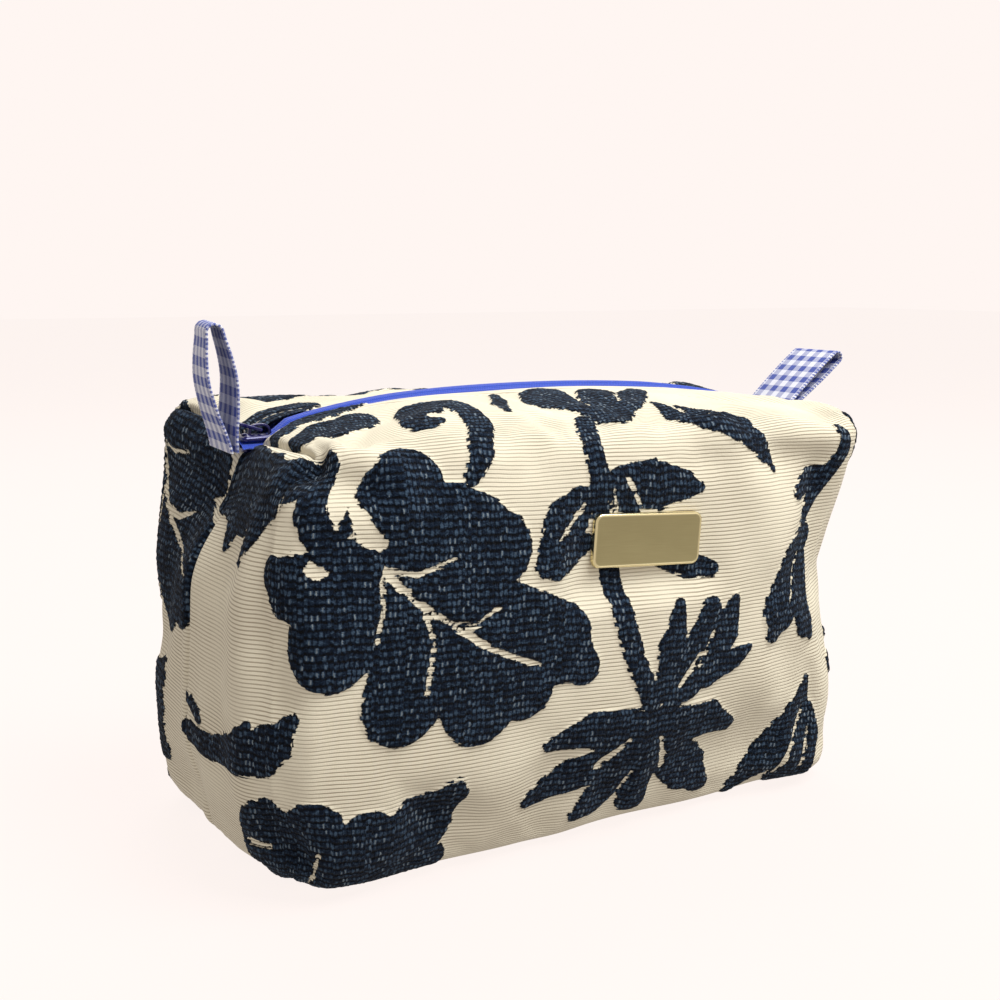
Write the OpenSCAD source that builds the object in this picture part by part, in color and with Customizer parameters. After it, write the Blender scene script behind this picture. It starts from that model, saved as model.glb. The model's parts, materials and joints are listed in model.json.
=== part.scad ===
// Boxy zippered pouch of woven cloth, fleece and lining, with a coil zip, two ribbon loops and a metal plate.
// X runs along the zip, Y from front to back, Z up. The origin is the middle of the underside.

/* [Pouch] */
// Length over both ends
body_l = 240; // [200:1:300]
// Depth from front face to back face
body_d = 126; // [90:1:150]
// Height from the underside to the lips of the mouth
body_h = 140.5; // [110:0.5:180]
// Radius where the cloth folds round an edge
fold_r = 12; // [10:0.5:16]
// How far each boxed end reaches round the corner, along X
end_reach = 13; // [13:0.5:18]

/* [Cloth] */
// Thickness of the outer jacquard cloth
outer_t = 1.4; // [1:0.1:2]
// Thickness of the fleece behind it
fleece_t = 1; // [0.8:0.1:2]
// Thickness of the lining cloth
lining_t = 0.5; // [0.5:0.1:1]
// Gap between cloth that swings and cloth that stays
swing_gap = 0.4; // [0.3:0.1:0.8]

/* [Zip] */
// Half width of the slot between the folded edges of the mouth
slot_half = 5.8; // [5.4:0.1:7]
// Width of one zip tape
tape_w = 12; // [10:0.5:16]
// Thickness of the zip tapes
tape_t = 0.6; // [0.4:0.1:0.8]
// Width of one row of coil teeth
coil_w = 2.8; // [2:0.1:3.2]
// Thickness of the coil
coil_t = 2.2; // [1.6:0.1:2.6]
// Length of the slider
slider_l = 11; // [9:0.5:13]
// Width of the slider
slider_w = 9.6; // [8:0.2:10]
// Length of the pull tab from its pin
pull_l = 7.5; // [7:0.5:16]
// Lean of the pull tab above the zip, at rest
pull_lean = 18; // [16:1:60]

/* [Ribbon loops] */
// Width of the ribbon
ribbon_w = 25; // [20:1:30]
// Thickness of the ribbon
ribbon_t = 0.8; // [0.5:0.1:1.2]
// Height of a loop from its seam
loop_h = 46; // [36:1:55]
// Widest outer width of a loop
loop_wide = 10; // [9:0.5:12]
// Outward lean of the left loop
left_lean = 11; // [10:1:20]
// Outward lean of the right loop
right_lean = 46; // [20:1:50]
// How far the right loop's seam lies past the folded end
right_loop_out = 12; // [10:0.5:14]
// Drop of the right loop's seam below the lips
right_loop_drop = 2; // [0:0.5:4]

/* [Plate] */
// Length of the metal plate
plate_l = 43.5; // [36:1:60]
// Height of the plate
plate_h = 18.2; // [14:1:26]
// Thickness of the plate
plate_t = 2; // [1:0.1:2.5]
// Corner radius of the plate
plate_r = 3; // [1:0.5:5]
// Middle of the plate along X
plate_x = 12.5; // [-40:0.5:40]
// Middle of the plate above the underside
plate_z = 106.5; // [50:0.5:115]
// Tilt of the plate, clockwise from the front
plate_tilt = 4; // [0:0.5:8]

/* [Hidden] */
$fn = 48;

fleece_in = outer_t;                       // depth of the fleece under the outer face
lining_in = outer_t + fleece_t;            // depth of the lining under the outer face
wall_half = body_l / 2 - end_reach;        // half length of the swinging walls
hinge_y = body_d / 2 - fold_r;             // where the base meets the folds of the walls
tape_top = body_h - outer_t;               // tapes lie under the outer cloth
coil_z = tape_top - tape_t / 2;            // middle of the coil
slider_x = -(wall_half - 1 - slider_l / 2);   // middle of the slider when the zip is closed
coil_start = slider_x + 0.5;               // where the rows of teeth leave the slider's post
coil_end = wall_half - 11;                 // where the rows reach the bottom stop
bail_x = slider_x + 1.5;                   // middle of the bail, towards the teeth
pin_z = coil_z + coil_t / 2 + 3.2;         // pin of the pull tab, under the bail
slider_plate = 1;                          // thickness of the slider's plates
bail_r = 4;                                // outer radius of the bail
loop_x = wall_half + 1.2;                  // seam that holds the left loop
prong_x = 15;                              // prongs of the plate, from its middle
prong_w = 3;                               // width of a prong
prong_t = 0.7;                             // thickness of a prong
cloth_blue = [0.16, 0.22, 0.33];
cloth_cream = [0.87, 0.82, 0.70];
zip_blue = [0.07, 0.28, 0.78];
slider_blue = [0.02, 0.02, 0.40];
gingham_blue = [0.45, 0.52, 0.80];
plate_gold = [0.82, 0.74, 0.48];

// Rectangle with round corners, standing on the X axis
module round_rect(w, h, r) {
    translate([-w / 2 + r, 0]) square([w - 2 * r, h]);
    translate([-w / 2, r]) square([w, h - 2 * r]);
    for (x = [-w / 2 + r, w / 2 - r], y = [r, h - r]) translate([x, y]) circle(r);
}

// Section across the pouch, for one layer of cloth that starts at a depth and has a thickness
module layer_section(depth, t) {
    difference() {
        translate([0, depth]) round_rect(body_d - 2 * depth, body_h - 2 * depth, fold_r - depth);
        translate([0, depth + t])
            round_rect(body_d - 2 * (depth + t), body_h - 2 * (depth + t), fold_r - depth - t);
    }
}

// Turns a section in Y and Z into a length along X
module along_x(l) { rotate([90, 0, 90]) linear_extrude(l, center = true) children(); }

// Front wall of one layer: face, fold and top, up to a given half width of the mouth
module wall(depth, t, mouth_half) {
    along_x(2 * (wall_half - swing_gap)) intersection() {
        layer_section(depth, t);
        union() {
            translate([-body_d, -1]) square([body_d - hinge_y, body_h / 2]);
            translate([-body_d, body_h / 2 - 2]) square([body_d - mouth_half, body_h]);
        }
    }
}

// Base of one layer, between the lines where the walls bend
module base(depth, t) {
    along_x(2 * wall_half) intersection() {
        layer_section(depth, t);
        translate([-hinge_y + swing_gap, -1]) square([2 * (hinge_y - swing_gap), fold_r]);
    }
}

// Block with round edges, smaller by a depth all round
module block(depth) {
    r = fold_r - depth;
    hull() for (x = [-1, 1], y = [-1, 1], z = [0, 1])
        translate([x * (body_l / 2 - fold_r), y * (body_d / 2 - fold_r), fold_r + z * (body_h - 2 * fold_r)])
            sphere(r, $fn = 30);
}

// Boxed right end of one layer
module right_end(depth, t) {
    intersection() {
        difference() {
            block(depth);
            block(depth + t);
        }
        translate([wall_half, -body_d, -body_h]) cube([body_l, 2 * body_d, 3 * body_h]);
    }
}

module outer_front() {
    color(cloth_blue) difference() {
        wall(0, outer_t, slot_half);
        for (s = [-1, 1]) prong_slot(s);
    }
}
module outer_back() { color(cloth_blue) mirror([0, 1, 0]) wall(0, outer_t, slot_half); }
module outer_base() { color(cloth_cream) base(0, outer_t); }
module outer_end_left() { color(cloth_cream) mirror([1, 0, 0]) right_end(0, outer_t); }
module outer_end_right() { color(cloth_cream) right_end(0, outer_t); }

module fleece_front() {
    color("ghostwhite") difference() {
        wall(fleece_in, fleece_t, slot_half + tape_w);
        on_front() translate([0, 0, -outer_t]) for (s = [-1, 1])
            translate([s * (prong_x - 3), 0, 0]) cube([prong_w + 8, prong_w + 2, 4], center = true);
    }
}
module fleece_back() {
    color("ghostwhite") mirror([0, 1, 0]) wall(fleece_in, fleece_t, slot_half + tape_w);
}
module fleece_base() { color("ghostwhite") base(fleece_in, fleece_t); }
module fleece_end_left() { color("ghostwhite") mirror([1, 0, 0]) right_end(fleece_in, fleece_t); }
module fleece_end_right() { color("ghostwhite") right_end(fleece_in, fleece_t); }

module lining_front() { color(cloth_cream) wall(lining_in, lining_t, slot_half + tape_w / 2); }
module lining_back() {
    color(cloth_cream) mirror([0, 1, 0]) wall(lining_in, lining_t, slot_half + tape_w / 2);
}
module lining_base() { color(cloth_cream) base(lining_in, lining_t); }
module lining_end_left() { color(cloth_cream) mirror([1, 0, 0]) right_end(lining_in, lining_t); }
module lining_end_right() { color(cloth_cream) right_end(lining_in, lining_t); }

// Woven tape that carries one row of teeth, sewn under the folded edge of the mouth
module tape() {
    half = wall_half - swing_gap;
    translate([-half, -coil_w - tape_w, tape_top - tape_t]) cube([2 * half, tape_w, tape_t]);
}
// One row of coil teeth, as the bar that it fills
module coil() {
    translate([coil_start, -coil_w, coil_z - coil_t / 2]) cube([coil_end - coil_start, coil_w - 0.05, coil_t]);
}
module zip_tape_front() { color(zip_blue) tape(); }
module zip_tape_back() { color(zip_blue) mirror([0, 1, 0]) tape(); }
module zip_coil_front() { color(zip_blue) coil(); }
module zip_coil_back() { color(zip_blue) mirror([0, 1, 0]) coil(); }

// Stops at the closed end, one on each row
module zip_top_stops() {
    color(slider_blue) for (s = [-1, 1])
        translate([-wall_half + 1.2, s * (coil_w / 2 + 0.1), coil_z]) cube([1.6, 2, coil_t], center = true);
}
// Stop across both rows at the far end
module zip_bottom_stop() {
    color(slider_blue) translate([coil_end + 1.7, 0, coil_z])
        cube([2.6, 2 * coil_w - 0.6, coil_t + 0.4], center = true);
}

// Slider: two plates with side lips, joined by the post that parts the rows
module slider_body() {
    gap = coil_t / 2 + 0.3;
    color(slider_blue) translate([slider_x, 0, coil_z]) {
        for (s = [-1, 1]) {
            translate([0, 0, s * (gap + slider_plate / 2)])
                cube([slider_l, slider_w, slider_plate], center = true);
            for (y = [-1, 1]) translate([0, y * (slider_w / 2 - 0.4), s * (gap - 0.15)])
                cube([slider_l, 0.8, 0.5], center = true);
        }
        translate([-2.6, 0, 0]) cylinder(r = 1.6, h = 2 * gap + 0.2, center = true);
    }
}
// Bridge over the slider's top plate that keeps the pull tab on
module slider_bail() {
    top = coil_z + coil_t / 2 + 0.3 + slider_plate;
    color(slider_blue) translate([bail_x, 0, top]) intersection() {
        rotate([90, 0, 0]) difference() {
            cylinder(r = bail_r, h = 2.2, center = true);
            cylinder(r = bail_r - 1, h = 4, center = true);
        }
        translate([-bail_r, -2, 0]) cube([2 * bail_r, 4, bail_r]);
    }
}
// Pull tab: a pin under the bail, two arms past it and a flat tab
module pull_tab() {
    arm_out = bail_r + 1;
    color(slider_blue) translate([bail_x, 0, pin_z]) rotate([0, pull_lean, 0]) {
        rotate([90, 0, 0]) cylinder(r = 0.6, h = 4.6, center = true);
        for (s = [-1, 1]) translate([-arm_out / 2, s * 1.9, 0]) cube([arm_out, 0.8, 1.2], center = true);
        translate([-pull_l, -3, -0.6]) cube([pull_l - arm_out + 0.5, 6, 1.2]);
    }
}

// Half width of a loop at a height between 0 and 1, less an inset
function loop_half(h, inset) = max(0.05, loop_wide / 2 * sin(90 * pow(h, 0.6)) - inset);
// Ribbon loop standing on its seam, as a teardrop ring that is as deep as the ribbon is wide
module loop_ring() {
    steps = 14;
    cap_r = loop_wide / 2;
    stem = loop_h - cap_r;
    rotate([90, 0, 0]) linear_extrude(ribbon_w, center = true) difference() {
        teardrop(0, 0, stem, cap_r, steps);
        teardrop(ribbon_t, 4, stem, cap_r - ribbon_t, steps);
    }
}
// Outline of a loop, inset by a thickness and starting at a height
module teardrop(inset, start, stem, cap_r, steps) {
    side = [for (i = [0:steps]) let (z = start + (stem - start) * i / steps) [loop_half(z / stem, inset), z]];
    polygon(concat(side, [for (i = [steps:-1:0]) [-side[i][0], side[i][1]]]));
    translate([0, stem]) circle(cap_r);
}
module loop_left() {
    color(gingham_blue) translate([-loop_x, 0, body_h + swing_gap]) rotate([0, -left_lean, 0]) loop_ring();
}
module loop_right() {
    color(gingham_blue) translate([wall_half + right_loop_out, 0, body_h - right_loop_drop])
        rotate([0, right_lean, 0]) loop_ring();
}

// Places the plate and what holds it: middle of the plate's back at the origin, its face along +Z
module on_front() {
    translate([plate_x, -body_d / 2, plate_z]) rotate([90, 0, 0]) rotate([0, 0, -plate_tilt]) children();
}
// Plain plate with round corners on the front wall
module name_plate() {
    color(plate_gold) on_front() linear_extrude(plate_t)
        translate([0, -plate_h / 2]) round_rect(plate_l, plate_h, plate_r);
}
// One prong's run through the outer cloth
module prong_slot(s) {
    on_front() translate([s * prong_x, 0, -outer_t / 2]) cube([prong_t, prong_w, outer_t], center = true);
}
// Prongs of the plate, through the cloth and bent flat behind it
module plate_prongs() {
    color(plate_gold) for (s = [-1, 1]) {
        prong_slot(s);
        on_front() translate([s * (prong_x - 2.5), 0, -outer_t - 0.35])
            cube([5 + prong_t, prong_w, 0.7], center = true);
    }
}

outer_front();
outer_back();
outer_base();
outer_end_left();
outer_end_right();
fleece_front();
fleece_back();
fleece_base();
fleece_end_left();
fleece_end_right();
lining_front();
lining_back();
lining_base();
lining_end_left();
lining_end_right();
zip_tape_front();
zip_tape_back();
zip_coil_front();
zip_coil_back();
zip_top_stops();
zip_bottom_stop();
slider_body();
slider_bail();
pull_tab();
loop_left();
loop_right();
name_plate();
plate_prongs();
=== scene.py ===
import json
import math

import bmesh
import bpy
import numpy as np
from mathutils import Matrix, Vector


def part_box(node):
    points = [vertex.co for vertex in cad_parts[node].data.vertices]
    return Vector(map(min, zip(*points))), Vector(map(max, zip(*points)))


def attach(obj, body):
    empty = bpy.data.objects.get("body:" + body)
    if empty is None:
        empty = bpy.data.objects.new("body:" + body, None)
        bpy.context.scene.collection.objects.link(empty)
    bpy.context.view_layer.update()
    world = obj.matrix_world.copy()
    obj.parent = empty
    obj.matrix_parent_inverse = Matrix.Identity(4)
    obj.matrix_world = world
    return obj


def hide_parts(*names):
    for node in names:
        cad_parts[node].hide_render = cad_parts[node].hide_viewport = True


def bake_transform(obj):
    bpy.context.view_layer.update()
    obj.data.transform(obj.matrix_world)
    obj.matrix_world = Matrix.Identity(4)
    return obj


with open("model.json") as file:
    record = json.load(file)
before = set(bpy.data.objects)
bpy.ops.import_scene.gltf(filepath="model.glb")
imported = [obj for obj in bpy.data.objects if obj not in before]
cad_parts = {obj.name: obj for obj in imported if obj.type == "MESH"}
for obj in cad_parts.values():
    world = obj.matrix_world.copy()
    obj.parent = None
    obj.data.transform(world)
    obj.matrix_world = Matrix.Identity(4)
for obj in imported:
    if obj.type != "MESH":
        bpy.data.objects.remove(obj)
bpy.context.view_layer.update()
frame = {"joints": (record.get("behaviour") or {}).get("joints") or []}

bl_info = {
    "name": "Zippered cloth pouch",
    "version": (1, 0, 0),
    "blender": (4, 5, 0),
    "location": "3D View > Sidebar > Pouch",
    "description": "Makes the cloth, zip, ribbons and plate of a boxy pouch round its fixed frame",
    "category": "Object",
}

MM = 0.001


# ---------------------------------------------------------------- the frame, in millimetres

def node_box(*names):
    """Lowest and highest corners of CAD nodes together, in millimetres."""
    boxes = [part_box(name) for name in names]
    low = np.min([np.array(b[0]) for b in boxes], axis=0) / MM
    high = np.max([np.array(b[1]) for b in boxes], axis=0) / MM
    return low, high


BODY_LOW, BODY_HIGH = node_box("outer_front", "outer_back", "outer_end_left", "outer_end_right")
HALF_L = BODY_HIGH[0] - 2
HALF_D = BODY_HIGH[1] - 4
TOP_Z = BODY_HIGH[2] + 5.5
HINGE = {"front": -node_box("outer_base")[1][1], "back": node_box("outer_base")[1][1]}
ZIP_HALF = node_box("zip_tape_front")[1][0]
COIL_LOW, COIL_HIGH = node_box("zip_coil_front", "zip_coil_back")
SLIDER_LOW, SLIDER_HIGH = node_box("slider_body")
SLIDER_X = (SLIDER_LOW[0] + SLIDER_HIGH[0]) / 2
PULL_LEAN = math.radians(18)
PLATE_TILT = math.radians(4)
PLATE_RADIUS = 3.0
RIBBON_WIDTH = 25.0
TEETH_OFFSET = 1.45
LINING_DEPTH = 3.4


# ---------------------------------------------------------------- shape of the stuffed pouch

def smooth(t):
    """Smooth step from 0 to 1."""
    t = np.clip(t, 0.0, 1.0)
    return t * t * (3 - 2 * t)


def bump(p, centre, reach):
    """Soft round weight, 1 at the centre and near 0 past the reach, given along each axis."""
    d = (p - np.array(centre)) / np.array(reach)
    return np.exp(-np.sum(d * d, axis=1))


FOLD = np.array([17.0, 19.0, 13.0])


def rounded(p):
    """Points on the box, moved to a box whose edges are folded round."""
    half = np.array([HALF_L, HALF_D, TOP_Z / 2])
    centre = np.array([0.0, 0.0, TOP_Z / 2])
    q = p - centre
    core = np.clip(q, -(half - FOLD), half - FOLD)
    out = (q - core) / FOLD
    size = np.linalg.norm(out, axis=1, keepdims=True)
    return centre + core + np.where(size > 0, out / np.maximum(size, 1e-9), 0) * FOLD


def stuffed(p):
    """Points on the folded box, moved to the shape of the filled, slightly slumped pouch."""
    out = p.copy()
    x, y, z = p[:, 0] / HALF_L, p[:, 1] / HALF_D, p[:, 2] / TOP_Z
    upper = smooth((z - 0.62) / 0.38)
    middle = np.sin(np.pi * np.clip(z, 0, 1))
    left, right = smooth((-x - 0.1) / 0.9), smooth((x - 0.1) / 0.9)
    # The zip is shorter than the base, so the ends lean in towards it, and the base sits to the left.
    out[:, 0] += (13 * left - 3.5 * right) * upper * (1 - y ** 2)
    out[:, 0] -= 7 * (1 - smooth(z))
    out[:, 0] -= 2 * middle * (1 - y ** 2) * smooth((-x - 0.6) / 0.4)
    # The walls bow out in the middle and the top is crowned, with the zip in a shallow valley.
    out[:, 1] += np.sign(y) * 5.0 * middle * np.cos(np.pi * x / 2) * smooth(np.abs(y))
    crown = np.clip(np.cos(np.pi * x / 2), 0, 1) ** 0.42
    out[:, 2] += upper * (1.5 * crown + 6 * crown * (1 - np.abs(y)) - 8 * (1 - crown) * (1 - np.abs(y)))
    out[:, 2] -= upper * np.clip(3.5 - 4 * crown, 0, None) * np.exp(-(p[:, 1] / 9) ** 2)
    # The lips of the mouth close in on the teeth, but not where the slider stands.
    closed = smooth((x + 0.78) / 0.2) * (1 - smooth((x - 0.5) / 0.15))
    out[:, 1] *= 1 - 0.34 * closed * np.exp(-(p[:, 1] / 12) ** 2) * (p[:, 2] > TOP_Z - 20)
    # The cloth narrows a little towards the top.
    out[:, 1] *= 1 - 0.05 * upper
    # The right end is sucked in at mid height under its pointed top corner.
    out[:, 0] -= 10 * bump(p, (HALF_L, -HALF_D, 0.6 * TOP_Z), (40, 42, 36))
    out += bump(p, (HALF_L, -HALF_D, TOP_Z), (22, 26, 20))[:, None] * np.array([3.0, -2.0, 0.0])
    out[:, 0] += 2.5 * bump(p, (-HALF_L, -HALF_D, 0.5 * TOP_Z), (40, 70, 60))
    # The top corner at the back of the left end stands up, and the one at its front is pushed in.
    out += bump(p, (-HALF_L, HALF_D, TOP_Z), (30, 34, 30))[:, None] * np.array([-4.0, 3.0, 6.0])
    out += bump(p, (-HALF_L, -HALF_D, TOP_Z), (24, 22, 18))[:, None] * np.array([14.0, 3.0, -3.0])
    # The lower left edge is lifted where the base is soft, most of all at its front corner.
    out += bump(p, (-HALF_L, 0, 0), (20, 80, 24))[:, None] * np.array([4.0, 0.0, 2.0])
    out += bump(p, (-HALF_L, -HALF_D, 0), (26, 34, 34))[:, None] * np.array([9.0, 3.0, 2.0])
    out[:, 1] *= 1 - 0.03 * (1 - smooth(z / 0.3))
    return out


# ---------------------------------------------------------------- cloth grid

STEPS = {"x": 60, "y": 15, "z": 36, "slot": 2}
SLOT = 5.8


def lines():
    """Grid lines of the box along each axis, with y from the edge to the middle."""
    xs = np.linspace(-HALF_L, HALF_L, STEPS["x"] + 1)
    outer, inner = np.linspace(HALF_D, SLOT, STEPS["y"] + 1), np.linspace(SLOT, 0, STEPS["slot"] + 1)
    ys = np.concatenate([outer, inner[1:]])
    zs = np.linspace(0, TOP_Z, STEPS["z"] + 1)
    return xs, ys, zs


def cells(grid):
    """The four corners of each cell of a grid, in turn round the cell."""
    return np.stack([grid[:-1, :-1], grid[:-1, 1:], grid[1:, 1:], grid[1:, :-1]], axis=2)


def grid_patch(points, flats):
    """Quads of a grid of points, with their flat places."""
    rows, cols = points.shape[:2]
    quads = cells(np.arange(rows * cols).reshape(rows, cols)).reshape(-1, 4)
    return points.reshape(-1, 3), flats.reshape(-1, 2), quads


def panel_patches(side):
    """The five parts of one outer panel: face, top, base and two half ends."""
    xs, ys, zs = lines()
    s = -1 if side == "front" else 1
    run = ys[:STEPS["y"] + 1]

    def patch(x, y, z, u, v):
        return np.stack(np.broadcast_arrays(x, y, z), -1), np.stack(np.broadcast_arrays(u, v), -1)

    parts = {}
    gx, gz = np.meshgrid(xs, zs)
    parts["face"] = patch(gx, s * HALF_D, gz, gx, gz)
    gx, gy = np.meshgrid(xs, run)
    parts["top"] = patch(gx, s * gy, TOP_Z, gx, TOP_Z + HALF_D - gy)
    gx, gy = np.meshgrid(xs, ys)
    parts["base"] = patch(gx, s * gy, 0.0, gx, gy - HALF_D)
    gy, gz = np.meshgrid(ys, zs)
    for name, e in (("left", -1), ("right", 1)):
        parts[name] = patch(e * HALF_L, s * gy, gz, e * (HALF_L + HALF_D - gy), gz)
    return parts


def coarse_shell():
    """The whole outer shell, coarse: box points, flat places, quads, and the panel and part of each quad."""
    places, flats, quads, panel, part = [], [], [], [], []
    names = ["face", "top", "base", "left", "right"]
    count = 0
    for k, side in enumerate(("front", "back")):
        for name, (pts, flat) in panel_patches(side).items():
            p, f, q = grid_patch(pts, flat)
            if side == "back":
                f = f * np.array([-1, 1])
            places.append(p)
            flats.append(f)
            quads.append(q + count)
            panel.append(np.full(len(q), k))
            part.append(np.full(len(q), names.index(name)))
            count += len(p)
    places, flats, quads = np.concatenate(places), np.concatenate(flats), np.concatenate(quads)
    return places, flats, quads, np.concatenate(panel), np.concatenate(part)


def outward(points, quads, centre):
    """Quads turned to face away from a centre."""
    a, b, c, d = (points[quads[:, i]] for i in range(4))
    normal = np.cross(c - a, d - b)
    away = (a + b + c + d) / 4 - centre
    flip = np.sum(normal * away, axis=1) < 0
    out = quads.copy()
    out[flip] = quads[flip][:, ::-1]
    return out


def make_mesh(name, points, quads):
    """A smooth mesh in metres from points in millimetres."""
    mesh = bpy.data.meshes.new(name)
    mesh.vertices.add(len(points))
    mesh.vertices.foreach_set("co", (np.asarray(points, np.float32) * MM).ravel())
    sizes = np.full(len(quads), quads.shape[1])
    mesh.loops.add(int(sizes.sum()))
    mesh.loops.foreach_set("vertex_index", quads.astype(np.int32).ravel())
    mesh.polygons.add(len(quads))
    starts = np.concatenate([[0], np.cumsum(sizes)[:-1]])
    mesh.polygons.foreach_set("loop_start", starts.astype(np.int32))
    mesh.polygons.foreach_set("use_smooth", np.ones(len(quads), bool))
    mesh.update(calc_edges=True)
    mesh.validate()
    return mesh


def set_flat(mesh, corners):
    """Stores the flat place of every corner, in metres, as the mesh's own map."""
    layer = mesh.uv_layers.new(name="Flat")
    layer.data.foreach_set("uv", corners.astype(np.float32).ravel())


def add_object(name, mesh):
    """A mesh put in the scene."""
    obj = bpy.data.objects.new(name, mesh)
    bpy.context.scene.collection.objects.link(obj)
    return obj


# ---------------------------------------------------------------- woven flowers and leaves, on the flat cloth

# Strokes as u, v and half width in millimetres. Each shape has filled strokes, and slits cut from them.
SHAPES = [
    ([[(-78, 96, 20), (-60, 88, 20), (-42, 80, 16)], [(-80, 106, 12), (-75, 122, 15), (-72, 128, 13)],
      [(-88, 122, 4), (-93, 118, 2.5)], [(-68, 112, 14), (-58, 116, 13), (-50, 112, 13)],
      [(-62, 100, 16), (-48, 108, 14), (-43, 108, 12)], [(-42, 84, 15), (-22, 76, 14), (-10, 67, 6)],
      [(-40, 80, 14), (-31, 62, 10)], [(-55, 78, 14), (-47, 60, 13)], [(-70, 84, 14), (-74, 64, 13)],
      [(-82, 96, 14), (-97, 85, 14)], [(-92, 98, 12), (-110, 102, 10), (-118, 106, 6)]],
     [[(-101, 108, 3.6), (-97, 111, 3)], [(-90, 124, 2.2), (-86, 116, 3.4), (-82, 113, 2.4)],
      [(-90, 113, 1), (-80, 104, 1.1), (-70, 95, 1.1), (-60, 88, 1), (-45, 78, 0.9), (-27, 70, 0.5)],
      [(-82, 104, 0.8), (-81, 95, 0.8), (-83, 84, 0.4)],
      [(-68, 93, 0.9), (-64, 82, 0.8), (-66, 66, 0.4)], [(-80, 105, 0.8), (-70, 103, 0.8), (-57, 107, 0.4)],
      [(-60, 88, 0.8), (-50, 86, 0.8), (-42, 91, 0.4)]]),
    ([[(-172, 134, 12), (-152, 129, 14), (-138, 134, 8)], [(-158, 124, 9), (-161, 110, 1.5)],
      [(-150, 134, 9), (-134, 128, 10), (-118, 134, 9), (-104, 136, 7)], [(-134, 124, 7), (-139, 108, 1.5)],
      [(-103, 134, 6), (-105, 124, 5), (-99, 114, 5), (-88, 106, 7)]],
     [[(-122, 118, 0.8), (-118, 127, 0.8)]]),
    ([[(-114, 184, 6), (-100, 191, 7), (-84, 198, 6), (-72, 201, 3)],
      [(-112, 166, 6), (-96, 172, 9), (-84, 176, 10)]], [[(-100, 182, 0.9), (-78, 190, 1.2)]]),
    ([[(-62, 158, 8), (-59, 174, 9), (-52, 178, 7), (-46, 168, 5), (-43, 150, 4.6), (-46, 137, 4.2),
       (-50, 130, 2.6)]], [[(-52, 158, 2.4), (-58, 160, 2)]]),
    ([[(-29, 162, 1.6), (-24, 176, 2.8), (-18, 190, 2)], [(-13, 176, 1.6), (-7, 188, 2.2)]], []),
    ([[(2, 160, 6), (-3, 172, 9), (0, 186, 8)], [(8, 154, 8), (14, 166, 10), (20, 180, 9)],
      [(20, 164, 6), (30, 176, 6), (41, 187, 4)]],
     [[(6, 166, 0.6), (7, 182, 0.6)], [(20, 168, 0.6), (27, 182, 0.6)]]),
    ([[(-3, 152, 4), (-6, 136, 3.6), (-5, 118, 3.6), (0, 98, 3.8), (4, 82, 3.8), (10, 66, 3.6),
       (19, 50, 3.8)]], []),
    ([[(-25, 102, 5), (-18, 113, 9), (-13, 118, 6)], [(-22, 100, 4), (-11, 106, 4)]],
     [[(-21, 108, 0.5), (-11, 118, 0.7)]]),
    ([[(4, 122, 7), (18, 122, 8), (30, 121, 4.5), (36, 120, 1.5)], [(8, 118, 5), (12, 112, 2)]],
     [[(0, 122, 0.5), (3, 112, 0.7)], [(5, 126, 0.6), (13, 113, 0.7)]]),
    ([[(20, 97, 2), (32, 95, 4.5), (42, 92, 2.6)]], []),
    ([[(26, 56, 7), (25, 68, 6), (27, 82, 2.6)], [(32, 56, 9), (39, 66, 9), (41, 78, 5)],
      [(40, 60, 7), (49, 70, 6), (52, 81, 2.6)], [(42, 57, 6), (54, 60, 4), (60, 63, 1.8)]],
     [[(30, 54, 0.6), (38, 64, 0.9)], [(38, 60, 0.6), (43, 71, 0.6)]]),
    ([[(16, 40, 8), (-4, 44, 7), (-19, 40, 2.6)], [(12, 32, 8), (-10, 26, 7), (-24, 20, 3)],
      [(14, 28, 8), (3, 14, 7), (-3, 9, 3)], [(20, 28, 8), (20, 10, 6)],
      [(26, 32, 8), (42, 18, 9), (51, 9, 4)],
      [(24, 38, 8), (44, 38, 8), (57, 33, 3)], [(22, 42, 6), (30, 50, 3)]],
     [[(1, 29, 1.4), (12, 38, 0.7)], [(25, 36, 0.9), (30, 23, 1.6)], [(16, 24, 0.6), (12, 12, 0.6)]]),
    ([[(31, 162, 2.6), (33, 149, 4), (44, 141, 4.4), (54, 141, 7.5), (62, 134, 5), (70, 123, 1.4)],
      [(37, 158, 1.4), (42, 150, 2.8), (49, 146, 1.6)], [(52, 140, 7), (60, 143, 4)]], []),
    ([[(101, 138, 2), (104, 128, 3.4), (100, 118, 3.4), (94, 104, 3)],
      [(84, 114, 3), (91, 117, 5), (97, 120, 3)]], []),
    ([[(97, 98, 5), (86, 90, 10), (76, 74, 9), (73, 66, 4)], [(92, 88, 9), (93, 68, 7), (96, 62, 3)]],
     [[(92, 92, 0.6), (82, 76, 0.8)]]),
    ([[(66, 1, 3), (82, 18, 9), (92, 34, 6.5), (96, 44, 1.6)], [(94, 4, 11), (99, 20, 7), (98, 32, 3)]],
     [[(85, 4, 0.8), (95, 33, 0.8)], [(97, 8, 0.7), (99, 24, 0.7)]]),
    ([[(-180, 46, 4), (-152, 46, 4.6), (-136, 50, 6.5), (-121, 53, 8), (-114, 56, 6), (-109, 63, 2.6)],
      [(-176, 58, 1.6), (-163, 53, 2.6)], [(-134, 52, 6), (-129, 60, 2)]], []),
    ([[(-130, 8, 11), (-124, 24, 13)], [(-110, 14, 12), (-103, 24, 13)], [(-92, 8, 12), (-84, 20, 12)],
      [(-74, 12, 12), (-64, 20, 13), (-54, 30, 6), (-52, 35, 2)], [(-118, 4, 9), (-60, 4, 8)]],
     [[(-110, 0, 0.8), (-102, 18, 0.8)], [(-134, 20, 1.6), (-126, 19, 1)]]),
]
REPEAT = (300.0, 215.0)
BACK_SHIFT = (-200.0, -25.0)


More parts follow.
